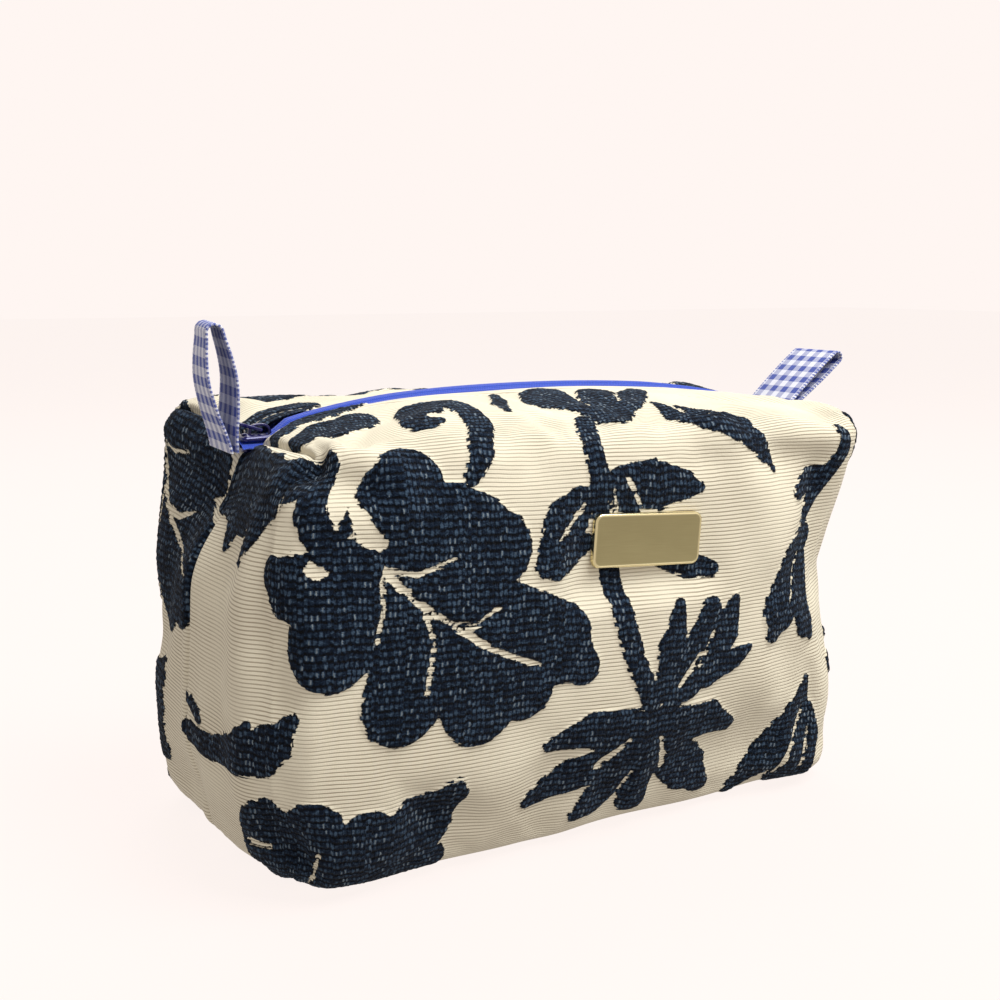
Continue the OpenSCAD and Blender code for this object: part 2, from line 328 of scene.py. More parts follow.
def stroke_distance(p, stroke):
    """Distance in millimetres from flat places to a stroke, negative inside it."""
    best = np.full(len(p), 1e3)
    ends = np.array(stroke, float)
    for a, b in zip(ends[:-1], ends[1:]):
        run = b[:2] - a[:2]
        t = np.clip((p - a[:2]) @ run / (run @ run), 0, 1)
        gap = np.hypot(*(p - a[:2] - t[:, None] * run).T) - (a[2] + t * (b[2] - a[2]))
        best = np.minimum(best, gap)
    return best


def motif_distance(flat):
    """Distance from flat places to the edge of the woven motif, negative on the pile."""
    best = np.full(len(flat), 9.0)
    for fill, slits in SHAPES:
        ends = np.array([point for stroke in fill for point in stroke], float)
        low = (ends[:, :2] - ends[:, 2:]).min(axis=0) - 4
        high = (ends[:, :2] + ends[:, 2:]).max(axis=0) + 4
        for i in (-1, 0, 1, 2):
            for j in (-1, 0, 1):
                p = flat - np.array([i * REPEAT[0], j * REPEAT[1]])
                near = np.nonzero(np.all((p > low) & (p < high), axis=1))[0]
                if not len(near):
                    continue
                gap = np.min([stroke_distance(p[near], s) for s in fill], axis=0)
                for slit in slits:
                    gap = np.maximum(gap, -stroke_distance(p[near], slit))
                best[near] = np.minimum(best[near], gap)
    return best


# ---------------------------------------------------------------- helpers for meshes

def vertex_normals(points, quads):
    """Smooth unit normals of the points of a quad mesh."""
    a, b, c, d = (points[quads[:, i]] for i in range(4))
    face = np.cross(c - a, d - b)
    out = np.zeros_like(points)
    for i in range(4):
        np.add.at(out, quads[:, i], face)
    return out / np.maximum(np.linalg.norm(out, axis=1, keepdims=True), 1e-12)


def take_faces(points, quads, corner_data, keep, normals=None):
    """The kept faces alone: points, quads, corner data and normals."""
    used, index = np.unique(quads[keep].ravel(), return_inverse=True)
    return (points[used], index.reshape(-1, 4), {k: v[keep] for k, v in corner_data.items()},
            None if normals is None else normals[used])


def cloth_piece(name, points, quads, data, normals=None):
    """A cloth object with its flat map and motif on the corners, shaded with the given normals."""
    mesh = make_mesh(name, points, quads)
    set_flat(mesh, data["flat"] * MM)
    if "motif" in data:
        motif = mesh.attributes.new("Motif", "FLOAT", "CORNER")
        motif.data.foreach_set("value", data["motif"].astype(np.float32).ravel())
    if normals is not None:
        mesh.normals_split_custom_set_from_vertices(normals.tolist())
    return add_object(name, mesh)


def flat_area(data):
    """Flat width, length and area of a cloth piece, in metres."""
    f = data["flat"] * MM
    a, b, c, d = (f[:, i] for i in range(4))
    cross = (c - a)[:, 0] * (d - b)[:, 1] - (c - a)[:, 1] * (d - b)[:, 0]
    span = f.reshape(-1, 2).max(axis=0) - f.reshape(-1, 2).min(axis=0)
    return (float(span[0]), float(span[1])), float(np.abs(cross).sum() / 2)


def declare_cloth(data):
    """Works out a cloth piece's flat size; a piece whose flat halves overlap counts as twice as wide."""
    span, area = flat_area(data)
    if area > 1.01 * span[0] * span[1]:
        span = (span[0], 2 * span[1])


def sweep(path, section):
    """A section (y, out) carried along a path (x, z), as points, quads and the index of each ring."""
    path, section = np.array(path, float), np.array(section, float)
    along = np.gradient(path, axis=0)
    along /= np.linalg.norm(along, axis=1, keepdims=True)
    out = np.stack([-along[:, 1], along[:, 0]], 1)
    count, size = len(path), len(section)
    points = np.zeros((count, size, 3))
    points[:, :, 0] = path[:, None, 0] + out[:, None, 0] * section[None, :, 1]
    points[:, :, 1] = section[None, :, 0]
    points[:, :, 2] = path[:, None, 1] + out[:, None, 1] * section[None, :, 1]
    index = np.arange(count * size).reshape(count, size)
    nxt = np.roll(index, -1, axis=1)
    quads = np.stack([index[:-1], nxt[:-1], nxt[1:], index[1:]], -1).reshape(-1, 4)
    return points.reshape(-1, 3), quads, index


def solid_object(name, parts):
    """One closed smooth object from several lists of points and faces, with outward faces."""
    bm = bmesh.new()
    for points, faces in parts:
        verts = [bm.verts.new(Vector(p) * MM) for p in points]
        for face in faces:
            try:
                bm.faces.new([verts[i] for i in face])
            except ValueError:
                continue
    bmesh.ops.recalc_face_normals(bm, faces=bm.faces)
    for face in bm.faces:
        face.smooth = True
    mesh = bpy.data.meshes.new(name)
    bm.to_mesh(mesh)
    bm.free()
    mesh.set_sharp_from_angle(angle=math.radians(38))
    return add_object(name, mesh)


def stack(rings):
    """Points and faces of a closed form from rings of equal length, capped at both ends."""
    size = len(rings[0])
    points = [tuple(p) for ring in rings for p in ring]
    faces = []
    for k in range(len(rings) - 1):
        for i in range(size):
            j = (i + 1) % size
            faces.append((k * size + i, k * size + j, (k + 1) * size + j, (k + 1) * size + i))
    faces.append(tuple(range(size))[::-1])
    faces.append(tuple((len(rings) - 1) * size + i for i in range(size)))
    return points, faces


def round_outline(half_x, half_y, radius, taper=0.0, steps=7):
    """Outline of a rectangle with round corners, narrower by a taper towards +X."""
    out = []
    for cx, cy, start in ((1, 1, 0), (-1, 1, 90), (-1, -1, 180), (1, -1, 270)):
        for k in range(steps):
            a = math.radians(start + 90 * k / (steps - 1))
            x = cx * (half_x - radius) + radius * math.cos(a)
            y = cy * (half_y - radius) + radius * math.sin(a)
            out.append((x, y * (1 - taper * (x / half_x + 1) / 2)))
    return out


def slab(half_x, half_y, radius, layers, taper=0.0):
    """A plate built of layers (inset, height), each an inset outline."""
    rings = []
    for inset, z in layers:
        outline = round_outline(half_x - inset, half_y - inset, max(radius - inset, 0.05), taper)
        rings.append([(x, y, z) for x, y in outline])
    return stack(rings)


def moved(part, matrix):
    """A part's points moved by a matrix, with its faces."""
    points, faces = part
    return [tuple(matrix @ Vector(p)) for p in points], faces


def ride_wall(obj):
    """Bakes the object's placement into its mesh."""
    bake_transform(obj)


# ---------------------------------------------------------------- node helpers

def tint(red, green, blue):
    """Linear colour from the 0 to 255 values of a colour chart."""

    def linear(c):
        return ((c / 255 + 0.055) / 1.055) ** 2.4 if c > 10 else c / 255 / 12.92

    return tuple(linear(c) for c in (red, green, blue))


class Wires:
    """Short calls that add and join the nodes of one tree."""

    def __init__(self, tree):
        self.tree = tree

    def put(self, socket, value):
        """Joins a socket to another, or sets its value."""
        if isinstance(value, bpy.types.NodeSocket):
            self.tree.links.new(value, socket)
        elif value is not None:
            socket.default_value = value

    def add(self, kind, inputs=None, **settings):
        """A node with its settings and inputs."""
        made = self.tree.nodes.new(kind)
        for key, value in settings.items():
            setattr(made, key, value)
        for key, value in (inputs or {}).items():
            self.put(made.inputs[key], value)
        return made

    def math(self, operation, a, b=None, c=None, clamp=False):
        made = self.add("ShaderNodeMath", operation=operation, use_clamp=clamp)
        for k, value in enumerate((a, b, c)):
            self.put(made.inputs[k], value)
        return made.outputs[0]

    def ramp(self, value, low, high):
        """Value mapped from low..high to 0..1, smoothly."""
        made = self.add("ShaderNodeMapRange", interpolation_type="SMOOTHSTEP")
        self.put(made.inputs["Value"], value)
        made.inputs["From Min"].default_value = low
        made.inputs["From Max"].default_value = high
        return made.outputs["Result"]

    def mix(self, factor, a, b):
        made = self.add("ShaderNodeMix", data_type="RGBA")
        self.put(made.inputs["Factor"], factor)
        for name, value in (("A", a), ("B", b)):
            socket = [s for s in made.inputs if s.name == name and s.type == "RGBA"][0]
            self.put(socket, (*value, 1.0) if isinstance(value, tuple) else value)
        return [s for s in made.outputs if s.type == "RGBA"][0]

    def noise(self, vector, scale, detail=2.0, rough=0.5):
        """Soft random values over a place."""
        made = self.add("ShaderNodeTexNoise", {"Scale": scale, "Detail": detail, "Roughness": rough})
        self.put(made.inputs["Vector"], vector)
        return made.outputs[0]

    def white(self, vector):
        """One random value for each whole place."""
        made = self.add("ShaderNodeTexWhiteNoise", noise_dimensions="3D")
        self.put(made.inputs["Vector"], vector)
        return made.outputs["Value"]

    def combine(self, x, y, z=0.0):
        made = self.add("ShaderNodeCombineXYZ")
        for k, value in enumerate((x, y, z)):
            self.put(made.inputs[k], value)
        return made.outputs[0]

    def split(self, vector):
        made = self.add("ShaderNodeSeparateXYZ")
        self.put(made.inputs[0], vector)
        return made.outputs[0], made.outputs[1], made.outputs[2]

    def scaled(self, vector, factor):
        made = self.add("ShaderNodeVectorMath", operation="SCALE")
        self.put(made.inputs[0], vector)
        made.inputs["Scale"].default_value = factor
        return made.outputs[0]

    def flat_place(self):
        """Place on the flat cloth, in millimetres."""
        return self.scaled(self.add("ShaderNodeUVMap", uv_map="Flat").outputs[0], 1 / MM)

    def solid_place(self):
        """Place in the object, in millimetres."""
        return self.scaled(self.add("ShaderNodeTexCoord").outputs["Object"], 1 / MM)


def shader_group(name, inputs, outputs, build):
    """A node group made once: named inputs with defaults, named outputs, and a function that fills it."""
    group = bpy.data.node_groups.get(name)
    if group:
        return group
    group = bpy.data.node_groups.new(name, "ShaderNodeTree")
    for label, kind, value in inputs:
        socket = group.interface.new_socket(label, in_out="INPUT", socket_type=kind)
        if value is not None:
            socket.default_value = value
    for label, kind in outputs:
        group.interface.new_socket(label, in_out="OUTPUT", socket_type=kind)
    wires = Wires(group)
    start, end = wires.add("NodeGroupInput"), wires.add("NodeGroupOutput")
    for label, socket in build(wires, start.outputs).items():
        wires.put(end.inputs[label], socket)
    return group


def yarn_group():
    """Crossing yarns: a height and a mask of the gaps, on a flat place in millimetres."""

    def build(w, inputs):
        u, v, _ = w.split(inputs["Place"])
        across = w.math("DIVIDE", u, inputs["Across"])
        up = w.math("DIVIDE", v, inputs["Up"])
        row = w.math("FLOOR", up)
        shifted = w.math("ADD", across, w.math("MULTIPLY", w.math("MODULO", row, 2.0), 0.5))
        one = w.math("PINGPONG", shifted, 0.5)
        two = w.math("PINGPONG", up, 0.5)
        height = w.math("MULTIPLY", w.ramp(one, 0.0, 0.35), w.ramp(two, 0.0, 0.3))
        wear = w.noise(inputs["Place"], 0.8, 3.0)
        out = w.math("MULTIPLY", height, w.math("ADD", 0.7, w.math("MULTIPLY", wear, 0.6)))
        return {"Height": out, "Gap": w.math("SUBTRACT", 1.0, height)}

    return shader_group(
        "Crossing yarns",
        [("Place", "NodeSocketVector", None), ("Across", "NodeSocketFloat", 0.6),
         ("Up", "NodeSocketFloat", 0.6)],
        [("Height", "NodeSocketFloat"), ("Gap", "NodeSocketFloat")], build)


def cloudy_group():
    """Slow change of tone over a surface, and fine specks."""

    def build(w, inputs):
        slow = w.noise(inputs["Place"], inputs["Slow"], 3.0)
        fine = w.noise(inputs["Place"], inputs["Fine"], 4.0, 0.65)
        return {"Slow": slow, "Fine": fine}

    return shader_group(
        "Change of tone",
        [("Place", "NodeSocketVector", None), ("Slow", "NodeSocketFloat", 0.02),
         ("Fine", "NodeSocketFloat", 0.9)],
        [("Slow", "NodeSocketFloat"), ("Fine", "NodeSocketFloat")], build)


def new_material(name, **sockets):
    """A material with its principled shader, wires, and the uniform values set on the shader itself."""
    made = bpy.data.materials.new("pouch_" + name)
    made.use_nodes = True
    wires = Wires(made.node_tree)
    shader = [n for n in made.node_tree.nodes if n.type == "BSDF_PRINCIPLED"][0]
    for key, value in sockets.items():
        shader.inputs[key.replace("_", " ")].default_value = value
    return made, wires, shader


def use_group(wires, group, **inputs):
    """A node group placed in a material with its own values; gives its outputs."""
    made = wires.add("ShaderNodeGroup", node_tree=group)
    for key, value in inputs.items():
        wires.put(made.inputs[key], value)
    return made.outputs


def finish_bump(wires, shader, height):
    """Relief on the shader from a height in millimetres."""
    bump_node = wires.add("ShaderNodeBump", {"Height": height, "Distance": MM, "Strength": 1.0})
    wires.put(shader.inputs["Normal"], bump_node.outputs[0])


# ---------------------------------------------------------------- materials

def jacquard_material(colours, sizes):
    """Ribbed cream ground with raised navy pile, told apart by the motif's distance."""
    made, w, shader = new_material(
        "jacquard", Sheen_Weight=0.04, Sheen_Roughness=0.35, Specular_IOR_Level=0.12)
    flat = w.flat_place()
    tone = use_group(w, cloudy_group(), Place=flat, Slow=0.025, Fine=1.1)
    u, v, _ = w.split(flat)
    # The weft droops to the left, and wanders a little.
    droop = w.math("MULTIPLY", w.math("MINIMUM", u, 35.0), 0.05)
    level = w.math("ADD", v, droop)
    level = w.math("ADD", level, w.math("MULTIPLY", tone["Slow"], 2.2))
    rib = w.math("FRACT", w.math("DIVIDE", level, sizes.rib_pitch / MM))
    groove = w.ramp(w.math("ABSOLUTE", w.math("SUBTRACT", rib, 0.5)), 0.24, 0.46)
    warp = w.noise(w.combine(w.math("MULTIPLY", u, 3.4), w.math("MULTIPLY", v, 0.8)), 1.0, 2.0)
    fade = w.ramp(w.noise(flat, 0.035, 2.0), 0.3, 0.62)
    depth = w.math("MULTIPLY", groove, w.math("ADD", 0.22, w.math("MULTIPLY", fade, 0.42)))
    ground = w.mix(w.math("MULTIPLY", tone["Fine"], 0.3), tuple(colours.cream), tuple(colours.cream_shade))
    # Painted shade darkens the grooves between the ribs, more in some places than others.
    ground = w.mix(depth, ground, tuple(colours.groove))
    # Rows of pile with painted shade in the gaps and a painted highlight on the tips, tufts, and a pale
    # thread that shows here and there.
    stagger = w.white(w.combine(w.math("FLOOR", w.math("DIVIDE", u, 2.1)), 7.0))
    sway = w.math("ADD", w.math("MULTIPLY", tone["Fine"], 1.5), w.math("MULTIPLY", stagger, 0.9))
    q = w.math("DIVIDE", w.math("ADD", level, sway), sizes.row_pitch / MM)
    row = w.math("FLOOR", q)
    part = w.math("FRACT", q)
    shift = w.math("MULTIPLY", w.white(w.combine(row, 3.0)), 0.8)
    column = w.math("ADD", w.math("DIVIDE", w.math("ADD", u, w.math("MULTIPLY", tone["Fine"], 0.7)),
                                  sizes.tuft_pitch / MM), shift)
    cell = w.combine(w.math("FLOOR", column), row)
    chance = w.white(cell)
    bank = w.ramp(w.math("PINGPONG", part, 0.5), 0.0, 0.34)
    tuft = w.noise(w.combine(w.math("MULTIPLY", u, 0.75), w.math("MULTIPLY", level, 1.15)), 1.0, 4.0, 0.62)
    across = w.ramp(w.math("PINGPONG", column, 0.5), 0.0, 0.3)
    pile = w.math("ADD", w.math("MULTIPLY", bank, 0.3), w.math("MULTIPLY", tuft, 0.8))
    pile = w.math("ADD", pile, w.math("MULTIPLY", w.math("MULTIPLY", across, chance), 0.26))
    # Painted shade darkens the gaps between the rows of pile.
    navy = w.mix(w.ramp(pile, 0.42, 0.78), tuple(colours.navy_shade), tuple(colours.navy))
    # Painted highlight lightens the tips of the pile.
    navy = w.mix(w.math("MULTIPLY", w.ramp(pile, 0.7, 0.98), 0.85), navy, tuple(colours.navy_highlight))
    narrow = w.math("LESS_THAN", w.math("ABSOLUTE", w.math("SUBTRACT", w.math("FRACT", column), 0.5)), 0.13)
    tall = w.math("LESS_THAN", w.math("ABSOLUTE", w.math("SUBTRACT", part, 0.5)), 0.3)
    tick = w.math("MULTIPLY", w.math("MULTIPLY", narrow, tall), w.math("GREATER_THAN", chance, 0.7))
    tick = w.math("MULTIPLY", tick, w.ramp(w.noise(flat, 0.16, 1.0), 0.42, 0.6))
    navy = w.mix(w.math("MULTIPLY", tick, 0.8), navy, tuple(colours.tick))
    # The motif's edge steps from thread to thread.
    edge_row = w.math("FLOOR", w.math("DIVIDE", level, sizes.row_pitch / MM * 0.62))
    step = w.white(w.combine(edge_row, w.math("FLOOR", w.math("DIVIDE", u, 9.0))))
    motif = w.add("ShaderNodeAttribute", attribute_name="Motif", attribute_type="GEOMETRY").outputs["Fac"]
    gap = w.math("ADD", motif, w.math("MULTIPLY", w.math("SUBTRACT", step, 0.5), 1.1))
    gap = w.math("ADD", gap, w.math("MULTIPLY", w.math("SUBTRACT", tuft, 0.5), 1.6))
    woven = w.math("SUBTRACT", 1.0, w.ramp(gap, -0.12, 0.12))
    # Painted shade darkens the pile towards the motif's edge.
    rim = w.math("MULTIPLY", w.ramp(gap, -0.9, 0.0), 0.3)
    navy = w.mix(rim, navy, tuple(colours.navy_shade))
    w.put(shader.inputs["Base Color"], w.mix(woven, ground, navy))
    w.put(shader.inputs["Roughness"], w.math("ADD", 0.78, w.math("MULTIPLY", woven, 0.14)))
    rib_height = w.math("SUBTRACT", w.math("MULTIPLY", warp, 0.07), w.math("MULTIPLY", groove, 0.16))
    pile_height = w.math("ADD", w.math("MULTIPLY", bank, 0.3), w.math("MULTIPLY", tuft, 1.0))
    pile_height = w.math("ADD", pile_height, w.math("MULTIPLY", across, 0.2))
    height = w.math("ADD", w.math("MULTIPLY", rib_height, w.math("SUBTRACT", 1.0, woven)),
                    w.math("MULTIPLY", pile_height, woven))
    finish_bump(w, shader, height)
    return made


def plain_cloth(name, main, gap_shade_and_tone, across, up, height, sheen=0.1, roughness=0.85):
    """A plain or knitted cloth on its own flat map."""
    made, w, shader = new_material(name, Sheen_Weight=sheen, Roughness=roughness)
    flat = w.flat_place()
    tone = use_group(w, cloudy_group(), Place=flat, Slow=0.05, Fine=2.0)
    yarn = use_group(w, yarn_group(), Place=flat, Across=across, Up=up)
    # Painted shade darkens the gaps between the yarns; the same colour then gives a slow random change of
    # tone.
    colour = w.mix(w.math("MULTIPLY", yarn["Gap"], 0.6), main, gap_shade_and_tone)
    colour = w.mix(w.math("MULTIPLY", tone["Slow"], 0.3), colour, gap_shade_and_tone)
    w.put(shader.inputs["Base Color"], colour)
    finish_bump(w, shader, w.math("MULTIPLY", yarn["Height"], height))
    return made


def gingham_material(colours, sizes):
    """Woven checks with hatched half tones and a dashed selvedge."""
    made, w, shader = new_material("gingham", Roughness=0.7, Sheen_Weight=0.1)
    flat = w.flat_place()
    tone = use_group(w, cloudy_group(), Place=flat, Slow=0.08, Fine=2.5)
    yarn = use_group(w, yarn_group(), Place=flat, Across=0.42, Up=0.42)
    u, v, _ = w.split(flat)
    check = sizes.check / MM
    shifted = w.math("ADD", u, 0.5 * check)
    one = w.math("GREATER_THAN", w.math("FRACT", w.math("DIVIDE", shifted, 2 * check)), 0.5)
    two = w.math("GREATER_THAN", w.math("FRACT", w.math("DIVIDE", v, 2 * check)), 0.5)
    both = w.math("MULTIPLY", one, two)
    some = w.math("MAXIMUM", one, two)
    hatch = w.math("GREATER_THAN", w.math("FRACT", w.math("DIVIDE", w.math("ADD", u, v), 0.7)), 0.5)
    colour = w.mix(w.math("MULTIPLY", some, w.math("ADD", 0.35, w.math("MULTIPLY", hatch, 0.3))),
                   tuple(colours.gingham_white), tuple(colours.gingham_blue))
    colour = w.mix(both, colour, tuple(colours.gingham_blue))
    side = w.math("GREATER_THAN", w.math("ABSOLUTE", u), RIBBON_WIDTH / 2 - 1.1)
    dash = w.math("GREATER_THAN", w.math("FRACT", w.math("DIVIDE", v, 1.5)), 0.5)
    picot = w.math("MULTIPLY", side, w.math("MULTIPLY", dash, 0.85))
    colour = w.mix(picot, colour, tuple(colours.gingham_blue))
    # Painted shade, tinted blue, darkens the gaps between the yarns unevenly.
    colour = w.mix(w.math("MULTIPLY", w.math("MULTIPLY", yarn["Gap"], tone["Fine"]), 0.35), colour,
                   tuple(colours.gingham_blue))
    w.put(shader.inputs["Base Color"], colour)
    finish_bump(w, shader, w.math("MULTIPLY", yarn["Height"], 0.12))
    return made


def enamel_material(name, colour, dark, metallic, roughness, coat):
    """Painted or moulded blue parts with slight wear in tone and gloss."""
    made, w, shader = new_material(name, Metallic=metallic, Coat_Weight=coat, Coat_Roughness=0.12)
    place = w.solid_place()
    tone = use_group(w, cloudy_group(), Place=place, Slow=0.35, Fine=3.0)
    w.put(shader.inputs["Base Color"], w.mix(tone["Slow"], colour, dark))
    w.put(shader.inputs["Roughness"], w.math("ADD", roughness, w.math("MULTIPLY", tone["Fine"], 0.12)))
    finish_bump(w, shader, w.math("MULTIPLY", tone["Fine"], 0.03))
    return made


def plate_material(colours):
    """Pale gold metal, brushed along the face and polished on the rim, with a paler colour on the rim as a
    painted highlight.
    """
    made, w, shader = new_material("plate", Metallic=1.0)
    place = w.solid_place()
    tone = use_group(w, cloudy_group(), Place=place, Slow=0.06, Fine=1.2)
    x, y, z = w.split(place)
    lift = w.math("ADD", z, w.math("MULTIPLY", x, math.tan(PLATE_TILT)))
    streak = w.noise(w.combine(w.math("MULTIPLY", x, 0.09), w.math("MULTIPLY", y, 0.4),
                               w.math("MULTIPLY", lift, 7.0)), 1.0, 3.0, 0.6)
    rim = w.add("ShaderNodeAttribute", attribute_name="Rim", attribute_type="GEOMETRY").outputs["Fac"]
    colour = w.mix(w.math("MULTIPLY", streak, 0.5), tuple(colours.plate), tuple(colours.plate_shade))
    colour = w.mix(w.math("MULTIPLY", tone["Slow"], 0.35), colour, tuple(colours.plate_shade))
    # Painted highlight: the rim takes a paler colour than the face.
    w.put(shader.inputs["Base Color"], w.mix(rim, colour, tuple(colours.plate_rim_highlight)))
    rough = w.math("ADD", 0.3, w.math("MULTIPLY", streak, 0.2))
    w.put(shader.inputs["Roughness"], w.math("SUBTRACT", rough, w.math("MULTIPLY", rim, 0.2)))
    brushed = w.math("MULTIPLY", streak, 0.03)
    finish_bump(w, shader, w.math("MULTIPLY", brushed, w.math("SUBTRACT", 1.0, rim)))
    return made


FINISHES = {}


def material(name):
    """A finish by its name, made the first time that it is asked for."""
    if name in FINISHES:
        return FINISHES[name]
    FINISHES[name] = make_material(name)
    return FINISHES[name]


def darker(colour, share):
    """A colour at a share of its brightness."""
    return tuple(c * share for c in colour)


def make_material(name):
    """Builds the finish of one name with the scene's colours and sizes."""
    colours, sizes = bpy.context.scene.pouch_colours, bpy.context.scene.pouch_sizes
    blue = tuple(colours.zip_blue)
    if name == "jacquard":
        return jacquard_material(colours, sizes)
    if name == "lining":
        return plain_cloth(name, tuple(colours.lining), darker(colours.lining, 0.75), 0.45, 0.45, 0.08)
    if name == "zip_tape":
        return plain_cloth(name, blue, darker(blue, 0.4), 0.7, 0.55, 0.16, 0.15, 0.7)
    if name == "zip_coil":
        return enamel_material(name, blue, darker(blue, 0.7), 0.0, 0.42, 0.05)
    if name == "slider":
        return enamel_material(name, tuple(colours.slider), darker(colours.slider, 0.6), 0.35, 0.2, 0.6)
    if name == "gingham":
        return gingham_material(colours, sizes)
    if name == "plate":
        return plate_material(colours)
    if name == "thread":
        return enamel_material(name, tuple(colours.cream), tuple(colours.groove), 0.0, 0.7, 0.0)
    raise ValueError(f"there is no finish named {name}")


# ---------------------------------------------------------------- the cloth shell

SHELL = {}
SETTLE_STEPS = 14
SWELL_LIMIT = 3.6
CREASES = [
    # Start and end on the folded box, reach across, and depth; a negative depth stands proud.
    ((-112, -59, 138), (-84, -59, 128), 6.0, 3.2),
    ((-84, -56, 146), (-62, -59, 134), 9.0, 1.8),
    ((-118, -50, 120), (-112, -59, 70), 8.0, 1.6),
    ((-118, -52, 60), (-108, -59, 20), 9.0, 1.4),
    ((-118, -20, 110), (-118, -30, 50), 10.0, 1.5),
    ((-118, 12, 126), (-118, 34, 66), 9.0, 1.8),
    ((48, -59, 138), (72, -59, 96), 9.0, -1.2),
    ((60, -59, 140), (86, -59, 118), 8.0, 1.3),
    ((78, -59, 60), (104, -59, 18), 9.0, 1.2),
    ((96, -59, 118), (112, -59, 84), 9.0, 1.6),
    ((-60, -59, 26), (-20, -59, 8), 9.0, 0.9),
    ((118, -44, 128), (118, -20, 92), 9.0, 2.2),
    ((118, 40, 130), (118, 16, 80), 10.0, 1.8),
    ((-70, 59, 132), (-30, 59, 96), 10.0, 1.4),
    ((60, 59, 124), (96, 59, 84), 9.0, 1.4),
    ((20, 59, 30), (70, 59, 14), 9.0, 1.0),
]


def segment_gap(p, a, b):
    """Distance from points to a straight line between two places."""
    a, b = np.array(a, float), np.array(b, float)
    run = b - a
    t = np.clip((p - a) @ run / (run @ run), 0, 1)
    return np.linalg.norm(p - a - t[:, None] * run, axis=1)


def seam_gap(box):
    """Distance on the folded box to the nearest seam: the boxed corners and the middle of the ends."""
    x, y, z = np.abs(box[:, 0]), np.abs(box[:, 1]), box[:, 2]
    corner = np.hypot(HALF_L - x, np.minimum(np.abs(TOP_Z - z), np.abs(z)))
    middle = np.where(HALF_L - x < 1.0, y, 99.0)
    under = np.where(z < 1.0, y, 99.0)
    return np.minimum(np.minimum(corner, middle), under)


def settle(obj, box):
    """Lets the filled cloth swell and wrinkle for a few steps, and keeps each point near where it was."""
    scene = bpy.context.scene
    start = np.array([v.co for v in obj.data.vertices])
    held = obj.vertex_groups.new(name="held")
    lip = (np.abs(box[:, 1]) < 20) & (box[:, 2] > TOP_Z - 1)
    sole = (box[:, 2] < 1) | (np.hypot(HALF_L - np.abs(box[:, 0]), TOP_Z - box[:, 2]) < 3)
    held.add([int(i) for i in np.nonzero(lip | sole)[0]], 1.0, "REPLACE")
    cloth = obj.modifiers.new("Cloth", "CLOTH")
    cloth.settings.quality = 5
    cloth.settings.mass = 0.25
    cloth.settings.tension_stiffness = 30
    cloth.settings.compression_stiffness = 12
    cloth.settings.shear_stiffness = 8
    cloth.settings.bending_stiffness = 0.6
    cloth.settings.use_pressure = True
    cloth.settings.uniform_pressure_force = 1.2
    cloth.settings.vertex_group_mass = "held"
    cloth.settings.effector_weights.gravity = 0.0
    cloth.settings.shrink_min = -0.035
    cloth.point_cache.frame_start, cloth.point_cache.frame_end = 1, SETTLE_STEPS
    for step in range(1, SETTLE_STEPS + 1):
        scene.frame_set(step)
    shown = obj.evaluated_get(bpy.context.evaluated_depsgraph_get()).data
    moved_to = np.array([v.co for v in shown.vertices])
    obj.modifiers.remove(cloth)
    scene.frame_set(1)
    change = (moved_to - start) / MM
    size = np.linalg.norm(change, axis=1, keepdims=True)
    return change / np.maximum(size, 1e-9) * SWELL_LIMIT * np.tanh(size / SWELL_LIMIT)


def draft_shell():
    """The coarse shell as one closed mesh, filled out and settled, with what each face and corner is."""
    places, flats, quads, panel, part = coarse_shell()
    _, first, merged = np.unique(np.round(places, 3), axis=0, return_index=True, return_inverse=True)
    box = places[first]
    faces = merged.ravel()[quads]
    corner_flat = flats[quads]
    turned = outward(box, faces, np.array([0.0, 0.0, TOP_Z / 2]))
    flip = turned[:, 0] != faces[:, 0]
    corner_flat[flip] = corner_flat[flip][:, ::-1]
    points = stuffed(rounded(box))
    obj = add_object("shell_draft", make_mesh("shell_draft", points, turned))
    points = points + settle(obj, box)
    obj.data.vertices.foreach_set("co", (points * MM).astype(np.float32).ravel())
    mesh = obj.data
    set_flat(mesh, corner_flat)
    place = mesh.attributes.new("place", "FLOAT_VECTOR", "POINT")
    place.data.foreach_set("vector", box.astype(np.float32).ravel())
    for name, values in (("panel", panel), ("part", part)):
        made = mesh.attributes.new(name, "INT", "FACE")
        made.data.foreach_set("value", values.astype(np.int32))
    return obj


def fine_shell(obj):
    """The settled shell made finer: points, places on the box, quads, flat places, and panel and part."""
    fine = obj.modifiers.new("Fine", "SUBSURF")
    fine.levels = fine.render_levels = 2
    fine.uv_smooth = "PRESERVE_BOUNDARIES"
    shown = obj.evaluated_get(bpy.context.evaluated_depsgraph_get()).data
    count, total = len(shown.vertices), len(shown.polygons)
    xyz, where = np.zeros(count * 3, np.float32), np.zeros(count * 3, np.float32)
    index, uv = np.zeros(total * 4, np.int32), np.zeros(total * 8, np.float32)
    shown.vertices.foreach_get("co", xyz)
    shown.attributes["place"].data.foreach_get("vector", where)
    shown.loops.foreach_get("vertex_index", index)
    shown.uv_layers["Flat"].data.foreach_get("uv", uv)
    kinds = {}
    for name in ("panel", "part"):
        kinds[name] = np.zeros(total, np.int32)
        shown.attributes[name].data.foreach_get("value", kinds[name])
    bpy.data.objects.remove(obj)
    xyz, where = xyz.reshape(-1, 3).astype(float) / MM, where.reshape(-1, 3).astype(float)
    return xyz, where, index.reshape(-1, 4), uv.reshape(-1, 4, 2).astype(float), kinds


